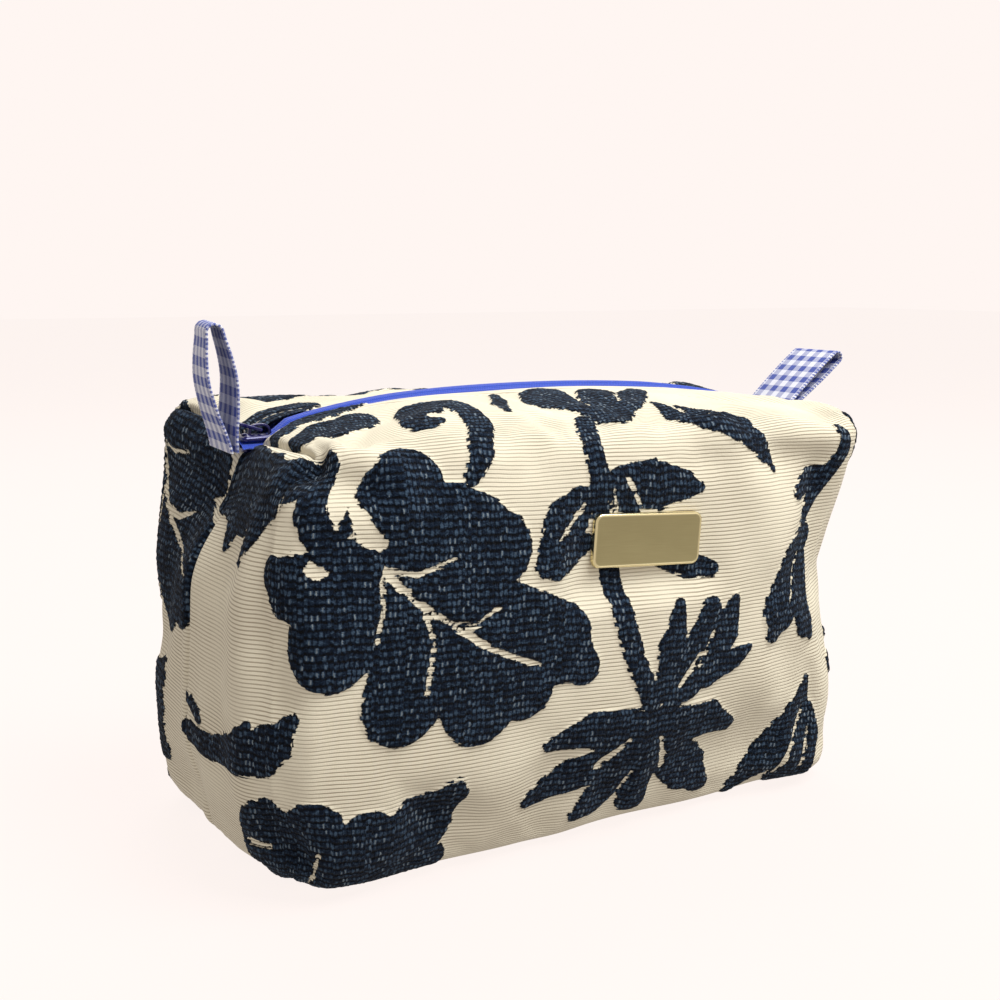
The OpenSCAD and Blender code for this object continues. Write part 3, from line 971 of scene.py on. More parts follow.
def relief(where, seam):
    """How far the cloth stands out or in: creases, slow ripples, seams and the line of stitches."""
    lift = np.zeros(len(where))
    for a, b, reach, depth in CREASES:
        gap = segment_gap(where, a, b)
        lift -= depth * np.exp(-(gap / reach) ** 2)
        lift += 0.45 * depth * np.exp(-((gap - 1.7 * reach) / reach) ** 2)
    x, y, z = where.T
    lift += 0.45 * np.sin(x / 11.0 + 1.3 * np.sin(z / 23.0)) * np.sin(z / 17.0 + y / 29.0)
    lift += 0.5 * np.exp(-((seam - 4.0) / 2.2) ** 2) - 1.3 * np.exp(-(seam / 1.3) ** 2)
    lip_gap = np.where(where[:, 2] > TOP_Z - 1, np.abs(where[:, 1]) - SLOT, 99.0)
    lift -= 0.7 * np.exp(-((lip_gap - 4.6) / 0.9) ** 2)
    quiet = np.exp(-np.clip(lip_gap, 0, None) / 3.0)
    return lift * (1 - 0.8 * quiet)


def build_shell():
    """The outer shell at its final fineness, kept for every piece that lies against it."""
    if SHELL:
        return SHELL
    xyz, where, index, uv, kinds = fine_shell(draft_shell())
    count, total = len(xyz), len(index)
    seam = seam_gap(where)
    shape = xyz + vertex_normals(xyz, index) * relief(where, seam)[:, None]
    # The cloth lies flat behind the plate.
    low, high = node_box("name_plate")
    near = smooth((high[0] + 16 - shape[:, 0]) / 14) * smooth((shape[:, 0] - low[0] + 16) / 14)
    near = near * smooth((high[2] + 14 - shape[:, 2]) / 12) * smooth((shape[:, 2] - low[2] + 14) / 12)
    near = near * (where[:, 1] < -HALF_D + 8)
    shape[:, 1] = shape[:, 1] * (1 - near) + (high[1] + 0.3) * near
    motif = np.zeros((total, 4))
    for k in (0, 1):
        of_panel = kinds["panel"] == k
        shift = np.array(BACK_SHIFT) if k else np.zeros(2)
        motif[of_panel] = motif_distance((uv[of_panel] + shift).reshape(-1, 2)).reshape(-1, 4)
    # The motif's pile stands up from the ground, in rows of slightly uneven height.
    weight, hits = np.zeros(count), np.zeros(count)
    raised = smooth((0.5 - motif) / 1.1)
    for i in range(4):
        np.add.at(weight, index[:, i], raised[:, i])
        np.add.at(hits, index[:, i], 1)
    weight = weight / np.maximum(hits, 1) * (1 - 0.9 * near) * (1 - np.exp(-(seam / 1.5) ** 2))
    rng = np.random.default_rng(7)
    rows = 0.16 * np.sin(2 * np.pi * (where[:, 2] + 0.05 * where[:, 0]) / 2.35)
    raised_by = weight * (0.75 + rows + rng.normal(0, 0.07, count))
    points = shape + vertex_normals(shape, index) * raised_by[:, None]
    # The floor presses the base flat.
    for made in (points, shape):
        made[:, 2] = np.maximum(made[:, 2], 0.1)
    SHELL.update(points=points, smooth=shape, place=where, quads=index, flat=uv, motif=motif, **kinds)
    return SHELL


def piece_masks(shell):
    """Which faces belong to the base, and to each half of each wall."""
    centre = shell["place"][shell["quads"]].mean(axis=1)
    base = (shell["part"] == 2) & (np.abs(centre[:, 1]) < abs(HINGE["front"]))
    masks = {("base", ""): base}
    for k, side in enumerate(("front", "back")):
        for half, sign in (("left", -1), ("right", 1)):
            masks[(half, side)] = ~base & (shell["panel"] == k) & (sign * centre[:, 0] > 0)
    return masks


def add_hem(points, quads, data, normals, side, shell_place):
    """Turns the lip of the mouth under: extra rows that run down and back beneath the top."""
    sign = -1 if side == "front" else 1
    on_lip = (np.abs(np.abs(shell_place[:, 1]) - SLOT) < 0.05) & (shell_place[:, 2] > TOP_Z - 0.5)
    lip = np.nonzero(on_lip)[0]
    lip = lip[np.argsort(shell_place[lip, 0])]
    if len(lip) < 2:
        return points, quads, data, normals
    steps = [(-0.45, -0.35), (-0.5, -1.0), (0.2, -1.5), (1.6, -1.7), (5.0, -1.8)]
    rows, row_normals = [], []
    for dy, dz in steps:
        rows.append(points[lip] + np.array([0, sign * dy, dz]))
        row_normals.append(np.tile([0, -sign * 0.7, -0.7], (len(lip), 1)))
    start = len(points)
    index = np.vstack([lip] + [start + k * len(lip) + np.arange(len(lip)) for k in range(len(steps))])
    new = cells(index).reshape(-1, 4)
    if side == "back":
        new = new[:, ::-1]
    u, v = np.meshgrid(shell_place[lip, 0], TOP_Z + HALF_D - SLOT + np.array([0, 0.6, 1.3, 2.2, 3.6, 7.0]))
    grid = np.stack([u if side == "front" else -u, v], -1)
    flat = cells(grid).reshape(-1, 4, 2)
    if side == "back":
        flat = flat[:, ::-1]
    shift = np.array(BACK_SHIFT) if side == "back" else np.zeros(2)
    motif = motif_distance((flat + shift).reshape(-1, 2)).reshape(-1, 4)
    return (np.vstack([points] + rows), np.vstack([quads, new]),
            {"flat": np.concatenate([data["flat"], flat]), "motif": np.concatenate([data["motif"], motif])},
            np.vstack([normals] + row_normals))


OUTER_NODES = {
    ("base", ""): ("outer_base", "fleece_base"),
    ("left", "front"): ("outer_front", "outer_end_left", "fleece_front", "fleece_end_left"),
    ("right", "front"): ("outer_front", "outer_end_right", "fleece_front", "fleece_end_right"),
    ("left", "back"): ("outer_back", "outer_end_left", "fleece_back", "fleece_end_left"),
    ("right", "back"): ("outer_back", "outer_end_right", "fleece_back", "fleece_end_right"),
}


def piece_name(start, half, side):
    """Name of the base or of one quarter of the walls."""
    return f"{start}_base" if half == "base" else f"{start}_{side}_{half}"


def top_points(x, y):
    """Points of the filled pouch's top over places on the box."""
    p = np.stack(np.broadcast_arrays(np.asarray(x, float), np.asarray(y, float), TOP_Z), -1).reshape(-1, 3)
    return stuffed(rounded(p))


def top_rise(x, y):
    """How much higher than the middle line the top is, over a grid of places."""
    return (top_points(x, y) - top_points(x, 0.0))[:, 2].reshape(x.shape)


def zip_height(x):
    """Height of the zip line at places along X, level with the slider near the closed end."""
    line = top_points(np.linspace(-HALF_L, HALF_L, 240), 0.0)
    z = np.interp(x, line[:, 0], line[:, 2])
    rest = (COIL_LOW[2] + COIL_HIGH[2]) / 2
    z0 = np.interp(SLIDER_X, line[:, 0], line[:, 2])
    # Beyond the slider it climbs to the lips of the mouth, low enough for the pull tab to lie over it.
    climb = np.clip((np.asarray(x) - SLIDER_X) / 11, 0, 1) ** 0.7
    return np.where(np.asarray(x) < SLIDER_X, z + rest - z0, rest + (z - rest) * climb)


# ---------------------------------------------------------------- geometry node tree for things along a path

def along_path_tree():
    """A tree that sets small round pieces at an even pitch along a path, made once."""
    name = "Pieces along a path"
    if name in bpy.data.node_groups:
        return bpy.data.node_groups[name]
    tree = bpy.data.node_groups.new(name, "GeometryNodeTree")
    face = tree.interface
    face.new_socket("Path", in_out="INPUT", socket_type="NodeSocketGeometry")
    for label, value in (("Pitch", 0.0013), ("Along", 0.001), ("Across", 0.001), ("Up", 0.001)):
        socket = face.new_socket(label, in_out="INPUT", socket_type="NodeSocketFloat")
        socket.default_value = value
    face.new_socket("Finish", in_out="INPUT", socket_type="NodeSocketMaterial")
    face.new_socket("Pieces", in_out="OUTPUT", socket_type="NodeSocketGeometry")
    w = Wires(tree)
    start, end = w.add("NodeGroupInput"), w.add("NodeGroupOutput")
    inputs = start.outputs
    curve = w.add("GeometryNodeMeshToCurve", {"Mesh": inputs["Path"]}).outputs[0]
    upright = w.add("GeometryNodeSetCurveNormal", {"Curve": curve}, mode="Z_UP").outputs[0]
    spots = w.add("GeometryNodeCurveToPoints", {"Curve": upright, "Length": inputs["Pitch"]}, mode="LENGTH")
    ball = w.add("GeometryNodeMeshUVSphere", {"Segments": 8, "Rings": 5, "Radius": 0.5}).outputs[0]
    size = w.combine(inputs["Across"], inputs["Up"], inputs["Along"])
    shaped = w.add("GeometryNodeTransform", {"Geometry": ball, "Scale": size}).outputs[0]
    set_out = {"Points": spots.outputs["Points"], "Instance": shaped, "Rotation": spots.outputs["Rotation"]}
    many = w.add("GeometryNodeInstanceOnPoints", set_out).outputs[0]
    real = w.add("GeometryNodeRealizeInstances", {"Geometry": many}).outputs[0]
    soft = w.add("GeometryNodeSetShadeSmooth", {"Geometry": real}).outputs[0]
    done = w.add("GeometryNodeSetMaterial", {"Geometry": soft, "Material": inputs["Finish"]}).outputs[0]
    w.put(end.inputs[0], done)
    return tree


def pieces_along(name, path, pitch, along, across, up, finish):
    """A plain mesh of small pieces set along a path given in millimetres."""
    mesh = bpy.data.meshes.new(name + "_path")
    mesh.from_pydata((np.asarray(path) * MM).tolist(), [(i, i + 1) for i in range(len(path) - 1)], [])
    draft = add_object(name + "_path", mesh)
    modifier = draft.modifiers.new("Pieces", "NODES")
    modifier.node_group = along_path_tree()
    items = modifier.node_group.interface.items_tree
    sockets = {item.name: item.identifier for item in items if item.in_out == "INPUT"}
    for label, value in (("Pitch", pitch), ("Along", along), ("Across", across), ("Up", up)):
        modifier[sockets[label]] = float(value * MM)
    modifier[sockets["Finish"]] = material(finish)
    shown = draft.evaluated_get(bpy.context.evaluated_depsgraph_get())
    made = bpy.data.meshes.new_from_object(shown)
    bpy.data.objects.remove(draft)
    if not len(made.polygons):
        raise RuntimeError(f"{name}: nothing was set along the path")
    made.name = name
    return add_object(name, made)


# ---------------------------------------------------------------- properties

class PouchSizes(bpy.types.PropertyGroup):
    rib_pitch: bpy.props.FloatProperty(
        name="Rib pitch", description="Distance between the ribs of the cream ground",
        default=0.00128, min=0.0008, max=0.003, precision=5, unit="LENGTH")
    row_pitch: bpy.props.FloatProperty(
        name="Pile row pitch", description="Distance between rows of the navy pile",
        default=0.0023, min=0.001, max=0.005, precision=5, unit="LENGTH")
    tuft_pitch: bpy.props.FloatProperty(
        name="Tuft pitch", description="Distance between the pale threads along a row of pile",
        default=0.0016, min=0.001, max=0.004, precision=5, unit="LENGTH")
    tooth_pitch: bpy.props.FloatProperty(
        name="Tooth pitch", description="Distance between the coil teeth of one row",
        default=0.00135, min=0.001, max=0.003, precision=5, unit="LENGTH")
    stitch_pitch: bpy.props.FloatProperty(
        name="Stitch pitch", description="Distance between the stitches beside the zip",
        default=0.0031, min=0.002, max=0.005, precision=5, unit="LENGTH")
    check: bpy.props.FloatProperty(
        name="Check", description="Side of one square of the ribbon's gingham",
        default=0.0031, min=0.001, max=0.008, precision=5, unit="LENGTH")


def colour_property(name, description, red, green, blue):
    """A colour setting with its default from a colour chart."""
    return bpy.props.FloatVectorProperty(
        name=name, description=description, default=tint(red, green, blue),
        size=3, min=0, max=1, subtype="COLOR")


class PouchColours(bpy.types.PropertyGroup):
    cream: colour_property("Cream", "Ribbed ground of the cloth", 224, 218, 196)
    cream_shade: colour_property("Cream shade", "Shaded yarns of the ground", 204, 195, 170)
    # Painted shade for the grooves between the ribs; the thread also uses it as its darker random tone.
    groove: colour_property("Groove", "Thin lines between the ribs", 128, 110, 86)
    navy: colour_property("Navy", "Body of the pile", 15, 28, 45)
    # Painted shade in the gaps between rows of pile and along the motif's edge.
    navy_shade: colour_property("Dark navy", "Gaps between rows of pile", 2, 4, 9)
    # Painted highlight on the tips of the pile.
    navy_highlight: colour_property("Light navy", "Tips of the pile", 66, 86, 106)
    tick: colour_property("Pale thread", "Thread that shows in the pile", 128, 138, 142)
    lining: colour_property("Lining", "Cotton inside the pouch", 226, 216, 196)
    zip_blue: colour_property("Zip", "Tapes and teeth of the zip", 22, 74, 205)
    slider: colour_property("Slider", "Enamel of the slider and its pull", 3, 4, 92)
    gingham_blue: colour_property("Gingham blue", "Dark squares of the ribbon", 38, 66, 160)
    gingham_white: colour_property("Gingham white", "White squares of the ribbon", 236, 238, 246)
    plate: colour_property("Plate", "Brushed face of the plate", 188, 178, 134)
    plate_shade: colour_property("Plate shade", "Darker streaks of the plate", 140, 128, 88)
    # Painted highlight on the polished rim, paler than the face.
    plate_rim_highlight: colour_property("Plate rim", "Polished edge of the plate", 240, 226, 176)
    backdrop: colour_property("Backdrop", "Floor and surroundings", 255, 246, 242)


# ---------------------------------------------------------------- operators

class POUCH_OT_stage(bpy.types.Operator):
    """Set the camera, the pale floor and the soft lights"""

    bl_idname = "pouch.stage"
    bl_label = "Camera, floor and lights"

    def execute(self, context):
        scene = context.scene
        camera = bpy.data.objects.new("camera", bpy.data.cameras.new("camera"))
        scene.collection.objects.link(camera)
        camera.data.lens, camera.data.sensor_width = 44.4, 36.0
        camera.data.clip_start = 0.01
        camera.location = (-0.226, -0.392, 0.192)
        camera.rotation_euler = (math.radians(90 - 10.17), 0, math.radians(-29.06))
        scene.camera = camera
        backdrop = tuple(scene.pouch_colours.backdrop)
        half_width, level = 6.0, -0.0004
        corners = [(x * half_width, y * half_width, level) for x, y in ((-1, -1), (1, -1), (1, 1), (-1, 1))]
        mesh = bpy.data.meshes.new("floor")
        mesh.from_pydata(corners, [], [(0, 1, 2, 3)])
        floor = add_object("floor", mesh)
        # The floor glows evenly, as a lit studio sweep does, and throws only a little of that at the cloth.
        made, w, shader = new_material("floor", Roughness=1.0, Specular_IOR_Level=0.0)
        shader.inputs["Emission Color"].default_value = (*backdrop, 1)
        looked_at = w.add("ShaderNodeLightPath").outputs["Is Camera Ray"]
        w.put(shader.inputs["Emission Strength"], w.math("ADD", 0.55, w.math("MULTIPLY", looked_at, 0.39)))
        place = w.add("ShaderNodeTexCoord").outputs["Object"]
        dim = darker(backdrop, 0.07)
        w.put(shader.inputs["Base Color"], w.mix(w.noise(place, 3.0), dim, darker(dim, 0.95)))
        mesh.materials.append(made)
        world = bpy.data.worlds.new("surroundings")
        world.use_nodes = True
        ground = world.node_tree.nodes["Background"]
        ground.inputs["Color"].default_value = (*backdrop, 1)
        air = Wires(world.node_tree)
        seen = air.add("ShaderNodeLightPath").outputs["Is Camera Ray"]
        air.put(ground.inputs["Strength"], air.math("ADD", 0.6, air.math("MULTIPLY", seen, 0.4)))
        scene.view_settings.view_transform = "Standard"
        scene.world = world
        for name, place, aim, width, power in (
            ("key", (0.4, -0.6, 1.3), (0, 0, 0.08), 0.8, 22.0),
            ("fill", (0.9, -1.0, 0.5), (0, 0, 0.07), 0.9, 1.2),
            ("back", (0.2, 0.7, 1.1), (0, 0, 0.1), 0.8, 8.0),
        ):
            lamp = bpy.data.objects.new(name, bpy.data.lights.new(name, "AREA"))
            lamp.data.size, lamp.data.energy = width, power
            lamp.location = place
            lamp.rotation_euler = (Vector(aim) - Vector(place)).to_track_quat("-Z", "Y").to_euler()
            scene.collection.objects.link(lamp)
        return {"FINISHED"}


class POUCH_OT_outer(bpy.types.Operator):
    """Make the outer cloth: base and the halves of both walls, with the raised motif"""

    bl_idname = "pouch.outer"
    bl_label = "Outer cloth"

    def execute(self, context):
        shell = build_shell()
        normals = vertex_normals(shell["points"], shell["quads"])
        for (half, side), keep in piece_masks(shell).items():
            used = np.unique(shell["quads"][keep].ravel())
            corners = {"flat": shell["flat"], "motif": shell["motif"]}
            points, quads, data, own = take_faces(shell["points"], shell["quads"], corners, keep, normals)
            if side:
                points, quads, data, own = add_hem(points, quads, data, own, side, shell["place"][used])
            obj = cloth_piece(piece_name("cloth", half, side), points, quads, data, own)
            obj.data.materials.append(material("jacquard"))
            if side:
                ride_wall(obj)
            else:
                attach(obj, "root")
            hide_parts(*OUTER_NODES[(half, side)])
            declare_cloth(data)
        return {"FINISHED"}


class POUCH_OT_lining(bpy.types.Operator):
    """Make the cotton lining inside the outer cloth"""

    bl_idname = "pouch.lining"
    bl_label = "Lining"

    def execute(self, context):
        shell = build_shell()
        normals = vertex_normals(shell["smooth"], shell["quads"])
        inner = shell["smooth"] - normals * LINING_DEPTH
        # The lining stops short of the zip, on the top and over the top of each end.
        x, y, z = np.abs(shell["place"][shell["quads"]].mean(axis=1)).T
        clear = (y >= 13) | ((z <= TOP_Z - 1) & ((x <= HALF_L - 1) | (z <= TOP_Z - 6)))
        for (half, side), keep in piece_masks(shell).items():
            points, quads, data, own = take_faces(
                inner, shell["quads"], {"flat": shell["flat"]}, keep & clear, -normals)
            turned = {"flat": data["flat"][:, ::-1]}
            obj = cloth_piece(piece_name("cotton", half, side), points, quads[:, ::-1], turned, own)
            obj.data.materials.append(material("lining"))
            if side:
                ride_wall(obj)
            else:
                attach(obj, "root")
            outer = [node for node in OUTER_NODES[(half, side)] if "outer" in node]
            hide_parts(*[node.replace("outer", "lining") for node in outer])
            declare_cloth(data)
        return {"FINISHED"}


class POUCH_OT_zip(bpy.types.Operator):
    """Make the zip's tapes and its rows of coil teeth"""

    bl_idname = "pouch.zip"
    bl_label = "Zip tapes and teeth"

    def execute(self, context):
        sizes = context.scene.pouch_sizes
        spans = {"left": (-ZIP_HALF, 0.0), "right": (0.0, ZIP_HALF)}
        runs = {"left": (COIL_LOW[0], 0.0), "right": (0.0, COIL_HIGH[0])}
        pitch = sizes.tooth_pitch / MM
        ys = np.array([0.12, 0.4, 0.8, 1.3, 1.9, 2.3, 2.7, 3.1, 3.6, 4.2, 5.0, 6.0, 7.4, 9.0, 11.0, 13.0])
        for side, sign in (("front", -1), ("back", 1)):
            for half in ("left", "right"):
                gx, gy = np.meshgrid(np.linspace(*spans[half], 108), ys)
                # The tape runs over the teeth in a low ridge, and dips where the two tapes meet.
                ridge = 1.15 - 1.2 * smooth((gy - 1.9) / 1.6) - 2.3 * smooth((gy - 4.0) / 2.6)
                dip = 0.5 * (1 - smooth(gy / 0.7))
                gz = zip_height(gx) + ridge - dip + top_rise(gx, gy) * smooth((gy - 2) / 4)
                flat = np.stack([gx, gy], -1)
                points, places, quads = grid_patch(np.stack([gx, sign * gy, gz], -1), flat)
                quads = outward(points, quads, points.mean(axis=0) - np.array([0, 0, 900.0]))
                obj = cloth_piece(f"zip_tape_{side}_{half}", points, quads, {"flat": places[quads]})
                obj.data.materials.append(material("zip_tape"))
                ride_wall(obj)
                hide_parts(f"zip_tape_{side}")
                declare_cloth({"flat": places[quads]})
                shift = 0.0 if side == "front" else pitch / 2
                line = np.arange(runs[half][0] + shift, runs[half][1], 1.0)
                path = np.stack([line, np.full_like(line, sign * TEETH_OFFSET), zip_height(line) - 0.1], -1)
                teeth = pieces_along(f"zip_teeth_{side}_{half}", path, pitch, 1.15, 3.1, 1.9, "zip_coil")
                ride_wall(teeth)
                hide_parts(f"zip_coil_{side}")
        for name in ("zip_top_stops", "zip_bottom_stop"):
            node_object = bpy.data.objects[name]
            node_object.data.materials.clear()
            node_object.data.materials.append(material("slider"))
        return {"FINISHED"}


class POUCH_OT_stitches(bpy.types.Operator):
    """Sew the row of stitches along each side of the zip"""

    bl_idname = "pouch.stitches"
    bl_label = "Stitches beside the zip"

    def execute(self, context):
        shell = build_shell()
        pitch = context.scene.pouch_sizes.stitch_pitch / MM
        place, points = shell["place"], shell["points"]
        for side, sign in (("front", -1), ("back", 1)):
            on_top = (place[:, 2] > TOP_Z - 0.5) & (sign * place[:, 1] > 0)
            offsets = np.unique(np.round(np.abs(place[on_top, 1]), 2))
            row = offsets[np.argmin(np.abs(offsets - (SLOT + 4.6)))]
            line = np.nonzero(on_top & (np.abs(np.abs(place[:, 1]) - row) < 0.02))[0]
            line = line[np.argsort(points[line, 0])]
            for half, keep in (("left", place[line, 0] <= 0), ("right", place[line, 0] >= 0)):
                path = points[line[keep]] + np.array([0, 0, 0.05])
                obj = pieces_along(f"stitches_{side}_{half}", path, pitch, pitch * 0.78, 0.55, 0.45, "thread")
                ride_wall(obj)
        return {"FINISHED"}


class POUCH_OT_slider(bpy.types.Operator):
    """Make the slider with its domed plates, post and bail, and the pull tab"""

    bl_idname = "pouch.slider"
    bl_label = "Slider and pull tab"

    def execute(self, context):
        middle = Vector(((SLIDER_LOW + SLIDER_HIGH) / 2).tolist())
        half = (SLIDER_HIGH - SLIDER_LOW) / 2
        bail_low, bail_high = node_box("slider_bail")
        top = half[2]
        upper = [(0.3, top - 1.5), (0.0, top - 1.2), (0.0, top - 0.6), (0.25, top - 0.15), (0.9, top + 0.15),
                 (1.9, top + 0.45), (3.0, top + 0.55)]
        lower = [(1.2, -top), (0.3, -top), (0.0, -top + 0.3), (0.0, -top + 1.2), (0.3, -top + 1.5)]
        parts = []
        for layers in (upper, lower):
            parts.append(moved(slab(half[0], half[1], 1.6, layers, 0.3), Matrix.Translation(middle)))
        post = [(0.0, -1.6), (0.0, 1.6)]
        parts.append(moved(slab(1.5, 1.2, 1.1, post), Matrix.Translation(middle + Vector((-2.6, 0, 0)))))
        # A low rim stands round the post.
        turns = np.linspace(0, 2 * math.pi, 8, endpoint=False)
        ring = []
        for k in range(16):
            a = 2 * math.pi * k / 16
            out = [(1.25 + 0.28 * math.cos(b), top + 0.5 + 0.28 * math.sin(b)) for b in turns]
            ring.append([(-3.1 + r * math.cos(a), r * math.sin(a), z) for r, z in out])
        points, faces = stack(ring)
        faces = faces[:-2] + [(15 * 8 + i, 15 * 8 + (i + 1) % 8, (i + 1) % 8, i) for i in range(8)]
        parts.append(moved((points, faces), Matrix.Translation(middle)))
        centre_x, base = (bail_low[0] + bail_high[0]) / 2, bail_low[2] - 0.2
        reach, rise = (bail_high[0] - bail_low[0]) / 2 - 0.45, bail_high[2] - base - 0.45
        path = []
        for k in range(25):
            a = math.pi * (1 - k / 24)
            path.append((centre_x + reach * np.sign(math.cos(a)) * abs(math.cos(a)) ** 0.7,
                         base + rise * math.sin(a) ** 0.7))
        section = round_outline(1.1, 0.42, 0.3, steps=3)
        points, quads, index = sweep(path, section)
        faces = [tuple(q) for q in quads] + [tuple(index[0]), tuple(index[-1])]
        parts.append(([tuple(p) for p in points], faces))
        slider = solid_object("slider", parts)
        slider.data.materials.append(material("slider"))
        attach(slider, "slider")
        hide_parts("slider_body", "slider_bail")

        joint = [j for j in frame["joints"] if j["name"] == "pull_swing"][0]
        pin = Vector(joint["pos_m"]) / MM if "pos_m" in joint else Vector((centre_x, 0, base + 2.1))
        length = (pin.x - node_box("pull_tab")[0][0]) / math.cos(PULL_LEAN)
        turn = Matrix.Translation(pin) @ Matrix.Rotation(PULL_LEAN, 4, "Y")
        parts = []
        layers = [(0.35, -0.6), (0.0, -0.3), (0.0, 0.3), (0.35, 0.6), (1.2, 0.62), (1.5, 0.45)]
        tab = slab(1.75, 3.0, 1.2, layers)
        parts.append(moved(tab, turn @ Matrix.Translation((-length + 1.75, 0, 0))))
        for s in (-1, 1):
            arm = slab(2.9, 0.42, 0.38, [(0.15, -0.55), (0.0, -0.3), (0.0, 0.3), (0.15, 0.55)])
            parts.append(moved(arm, turn @ Matrix.Translation((-2.4, s * 1.9, 0))))
        pin_rings = []
        for y in (-2.2, -2.0, 2.0, 2.2):
            r = 0.4 if abs(y) > 2.1 else 0.58
            angles = np.linspace(0, 2 * math.pi, 12, endpoint=False)
            pin_rings.append([(r * math.cos(a), y, r * math.sin(a)) for a in angles])
        parts.append(moved(stack(pin_rings), turn))
        pull = solid_object("pull", parts)
        pull.data.materials.append(material("slider"))
        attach(pull, "pull")
        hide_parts("pull_tab")
        return {"FINISHED"}


def ribbon_loop(name, foot, lean, height, widths, twist, body):
    """A folded ribbon: up one strand, round the top fold and down the other."""
    hs = np.linspace(0, 1, 40)
    half = np.interp(hs, *widths)
    half = np.convolve(np.pad(half, 3, mode="edge"), np.ones(7) / 7, mode="valid")
    cap = half[-1]
    left = [(-w, h * (height - cap)) for w, h in zip(half, hs)]
    angles = np.linspace(math.pi, 0, 16)[1:-1]
    turn = [(cap * math.cos(a), height - cap + cap * math.sin(a)) for a in angles]
    path = left + turn + [(-x, z) for x, z in left[::-1]]
    section = round_outline(RIBBON_WIDTH / 2, 0.38, 0.3, steps=4)
    points, quads, _ = sweep(path, section)
    path = np.array(path)
    run = np.concatenate([[0], np.cumsum(np.linalg.norm(np.diff(path, axis=0), axis=1))])
    flat = np.stack([np.tile([y for y, _ in section], len(path)), np.repeat(run, len(section))], -1)
    # The strands bow across their width, and the loop turns a little as it rises.
    level = points[:, 2] / height
    points[:, 0] += 0.5 * np.sign(points[:, 0]) * (1 - (2 * points[:, 1] / RIBBON_WIDTH) ** 2) * level
    spin = twist * level
    x, y = points[:, 0].copy(), points[:, 1].copy()
    points[:, 0] = x * np.cos(spin) - y * np.sin(spin)
    points[:, 1] = x * np.sin(spin) + y * np.cos(spin)
    matrix = Matrix.Translation(foot) @ Matrix.Rotation(lean, 4, "Y")
    points = np.array([tuple(matrix @ Vector(p)) for p in points])
    quads = quads[:, ::-1]
    mesh = make_mesh(name, points, quads)
    set_flat(mesh, flat[quads.ravel()] * MM)
    obj = add_object(name, mesh)
    bm = bmesh.new()
    bm.from_mesh(mesh)
    bmesh.ops.holes_fill(bm, edges=[e for e in bm.edges if e.is_boundary], sides=0)
    bmesh.ops.recalc_face_normals(bm, faces=bm.faces)
    bm.to_mesh(mesh)
    bm.free()
    mesh.set_sharp_from_angle(angle=math.radians(50))
    mesh.materials.append(material("gingham"))
    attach(obj, body)
    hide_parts(body.replace("left_loop", "loop_left").replace("right_loop", "loop_right"))


class POUCH_OT_loops(bpy.types.Operator):
    """Fold the two gingham ribbon loops at the ends of the zip"""

    bl_idname = "pouch.loops"
    bl_label = "Ribbon loops"

    def execute(self, context):
        # Both feet start below the cloth. Widths are half the gap between the strands, from foot to top.
        sunk = 3.5
        left_foot = Vector((-111.0, 0, node_box("loop_left")[0][2] - sunk))
        left_widths = [0, 0.15, 0.35, 0.6, 0.8, 0.92, 1.0], [0.8, 1.6, 3.4, 4.6, 3.9, 3.0, 2.4]
        ribbon_loop("ribbon_loop_left", left_foot, math.radians(-5), 41.0, left_widths, -0.14, "left_loop")
        right_foot = Vector((112.5, 0, node_box("loop_right")[0][2] - sunk))
        right_widths = [0, 0.2, 0.5, 0.8, 1.0], [0.7, 1.0, 1.9, 2.4, 2.2]
        ribbon_loop("ribbon_loop_right", right_foot, math.radians(52), 43.0, right_widths, 0.0, "right_loop")
        return {"FINISHED"}


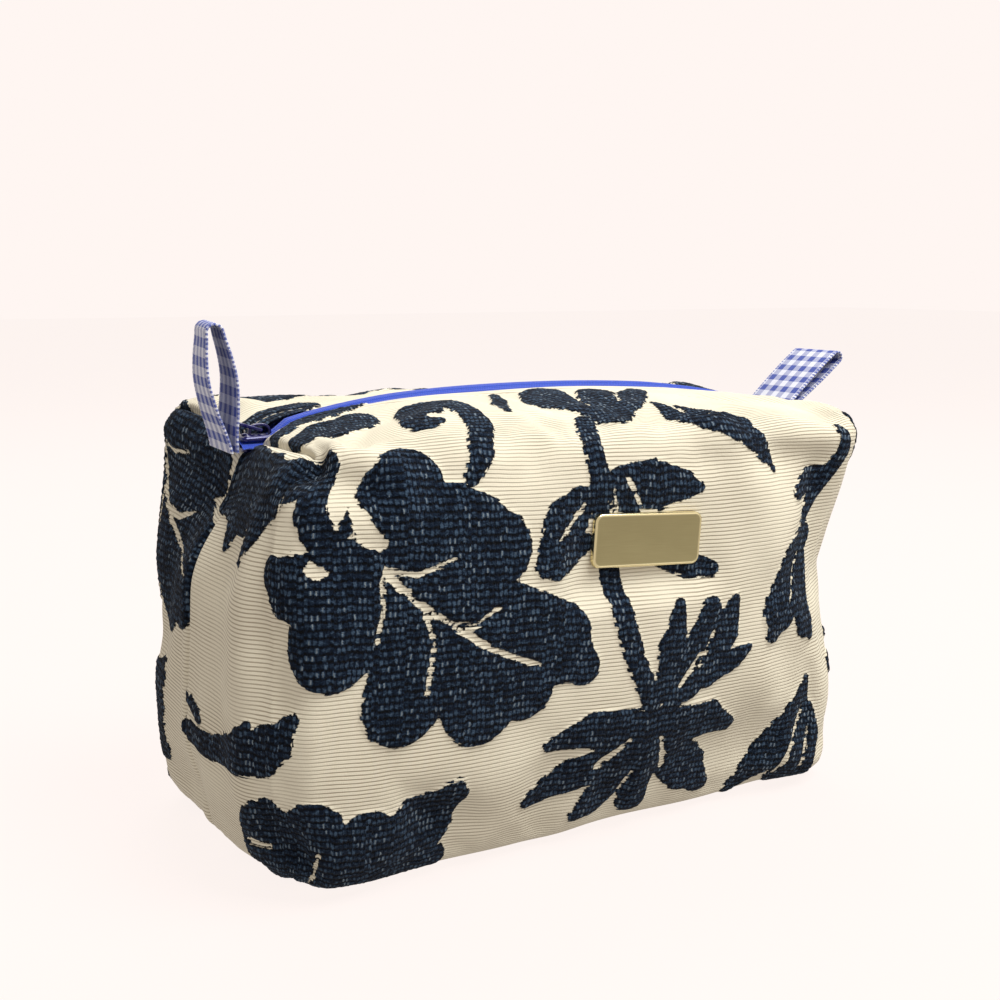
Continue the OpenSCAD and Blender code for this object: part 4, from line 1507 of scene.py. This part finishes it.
class POUCH_OT_plate(bpy.types.Operator):
    """Make the plain metal plate on the front, with its polished rim"""

    bl_idname = "pouch.plate"
    bl_label = "Metal plate"

    def execute(self, context):
        low, high = node_box("name_plate")
        centre = (low + high) / 2
        layers = [(0.4, 0.0), (0.0, 0.25), (0.0, 1.45), (0.12, 1.75), (0.38, 1.96), (0.7, 2.0),
                  (0.85, 1.9), (1.1, 1.86)]
        wide, tall = (high - low)[0], (high - low)[2]
        # The box of a tilted plate gives back its own length and height; the round corners add a little.
        c, s = math.cos(PLATE_TILT), math.sin(PLATE_TILT)
        length = (wide * c - tall * s) / (c * c - s * s) + 0.3
        height = (tall * c - wide * s) / (c * c - s * s) + 0.3
        points, faces = slab(length / 2, height / 2, PLATE_RADIUS, layers)
        matrix = (Matrix.Translation((centre[0], high[1], centre[2]))
                  @ Matrix.Rotation(math.radians(90), 4, "X") @ Matrix.Rotation(-PLATE_TILT, 4, "Z"))
        plate = solid_object("plate", [moved((points, faces), matrix)])
        size = len(points) // len(layers)
        # The rim's weight places the painted highlight and the lower roughness of the polish.
        values = np.repeat([1, 1, 1, 1, 1, 1, 0.6, 0], size).astype(np.float32)
        rim = plate.data.attributes.new("Rim", "FLOAT", "POINT")
        rim.data.foreach_set("value", values)
        plate.data.materials.append(material("plate"))
        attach(plate, "front_wall")
        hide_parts("name_plate")
        prongs = bpy.data.objects["plate_prongs"]
        prongs.data.materials.clear()
        prongs.data.materials.append(material("plate"))
        return {"FINISHED"}


STEPS_IN_ORDER = ("stage", "outer", "lining", "zip", "stitches", "slider", "loops", "plate")


class POUCH_PT_pieces(bpy.types.Panel):
    """Lists the steps that make the pouch"""

    bl_idname = "POUCH_PT_pieces"
    bl_label = "Zippered pouch"
    bl_space_type = "VIEW_3D"
    bl_region_type = "UI"
    bl_category = "Pouch"

    def draw(self, context):
        for name in STEPS_IN_ORDER:
            self.layout.operator(f"pouch.{name}")
        for group in (context.scene.pouch_sizes, context.scene.pouch_colours):
            for key in group.__annotations__:
                self.layout.prop(group, key)


CLASSES = (
    PouchSizes, PouchColours, POUCH_OT_stage, POUCH_OT_outer, POUCH_OT_lining, POUCH_OT_zip,
    POUCH_OT_stitches, POUCH_OT_slider, POUCH_OT_loops, POUCH_OT_plate, POUCH_PT_pieces,
)


def register():
    """Adds the classes and the scene's settings."""
    for made in CLASSES:
        bpy.utils.register_class(made)
    bpy.types.Scene.pouch_sizes = bpy.props.PointerProperty(type=PouchSizes)
    bpy.types.Scene.pouch_colours = bpy.props.PointerProperty(type=PouchColours)


def unregister():
    """Takes the settings and the classes away again."""
    del bpy.types.Scene.pouch_colours
    del bpy.types.Scene.pouch_sizes
    for made in reversed(CLASSES):
        bpy.utils.unregister_class(made)


def main():
    """Makes every piece in order."""
    register()
    for name in STEPS_IN_ORDER:
        getattr(bpy.ops.pouch, name)()
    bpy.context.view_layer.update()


if __name__ == "__main__":
    main()
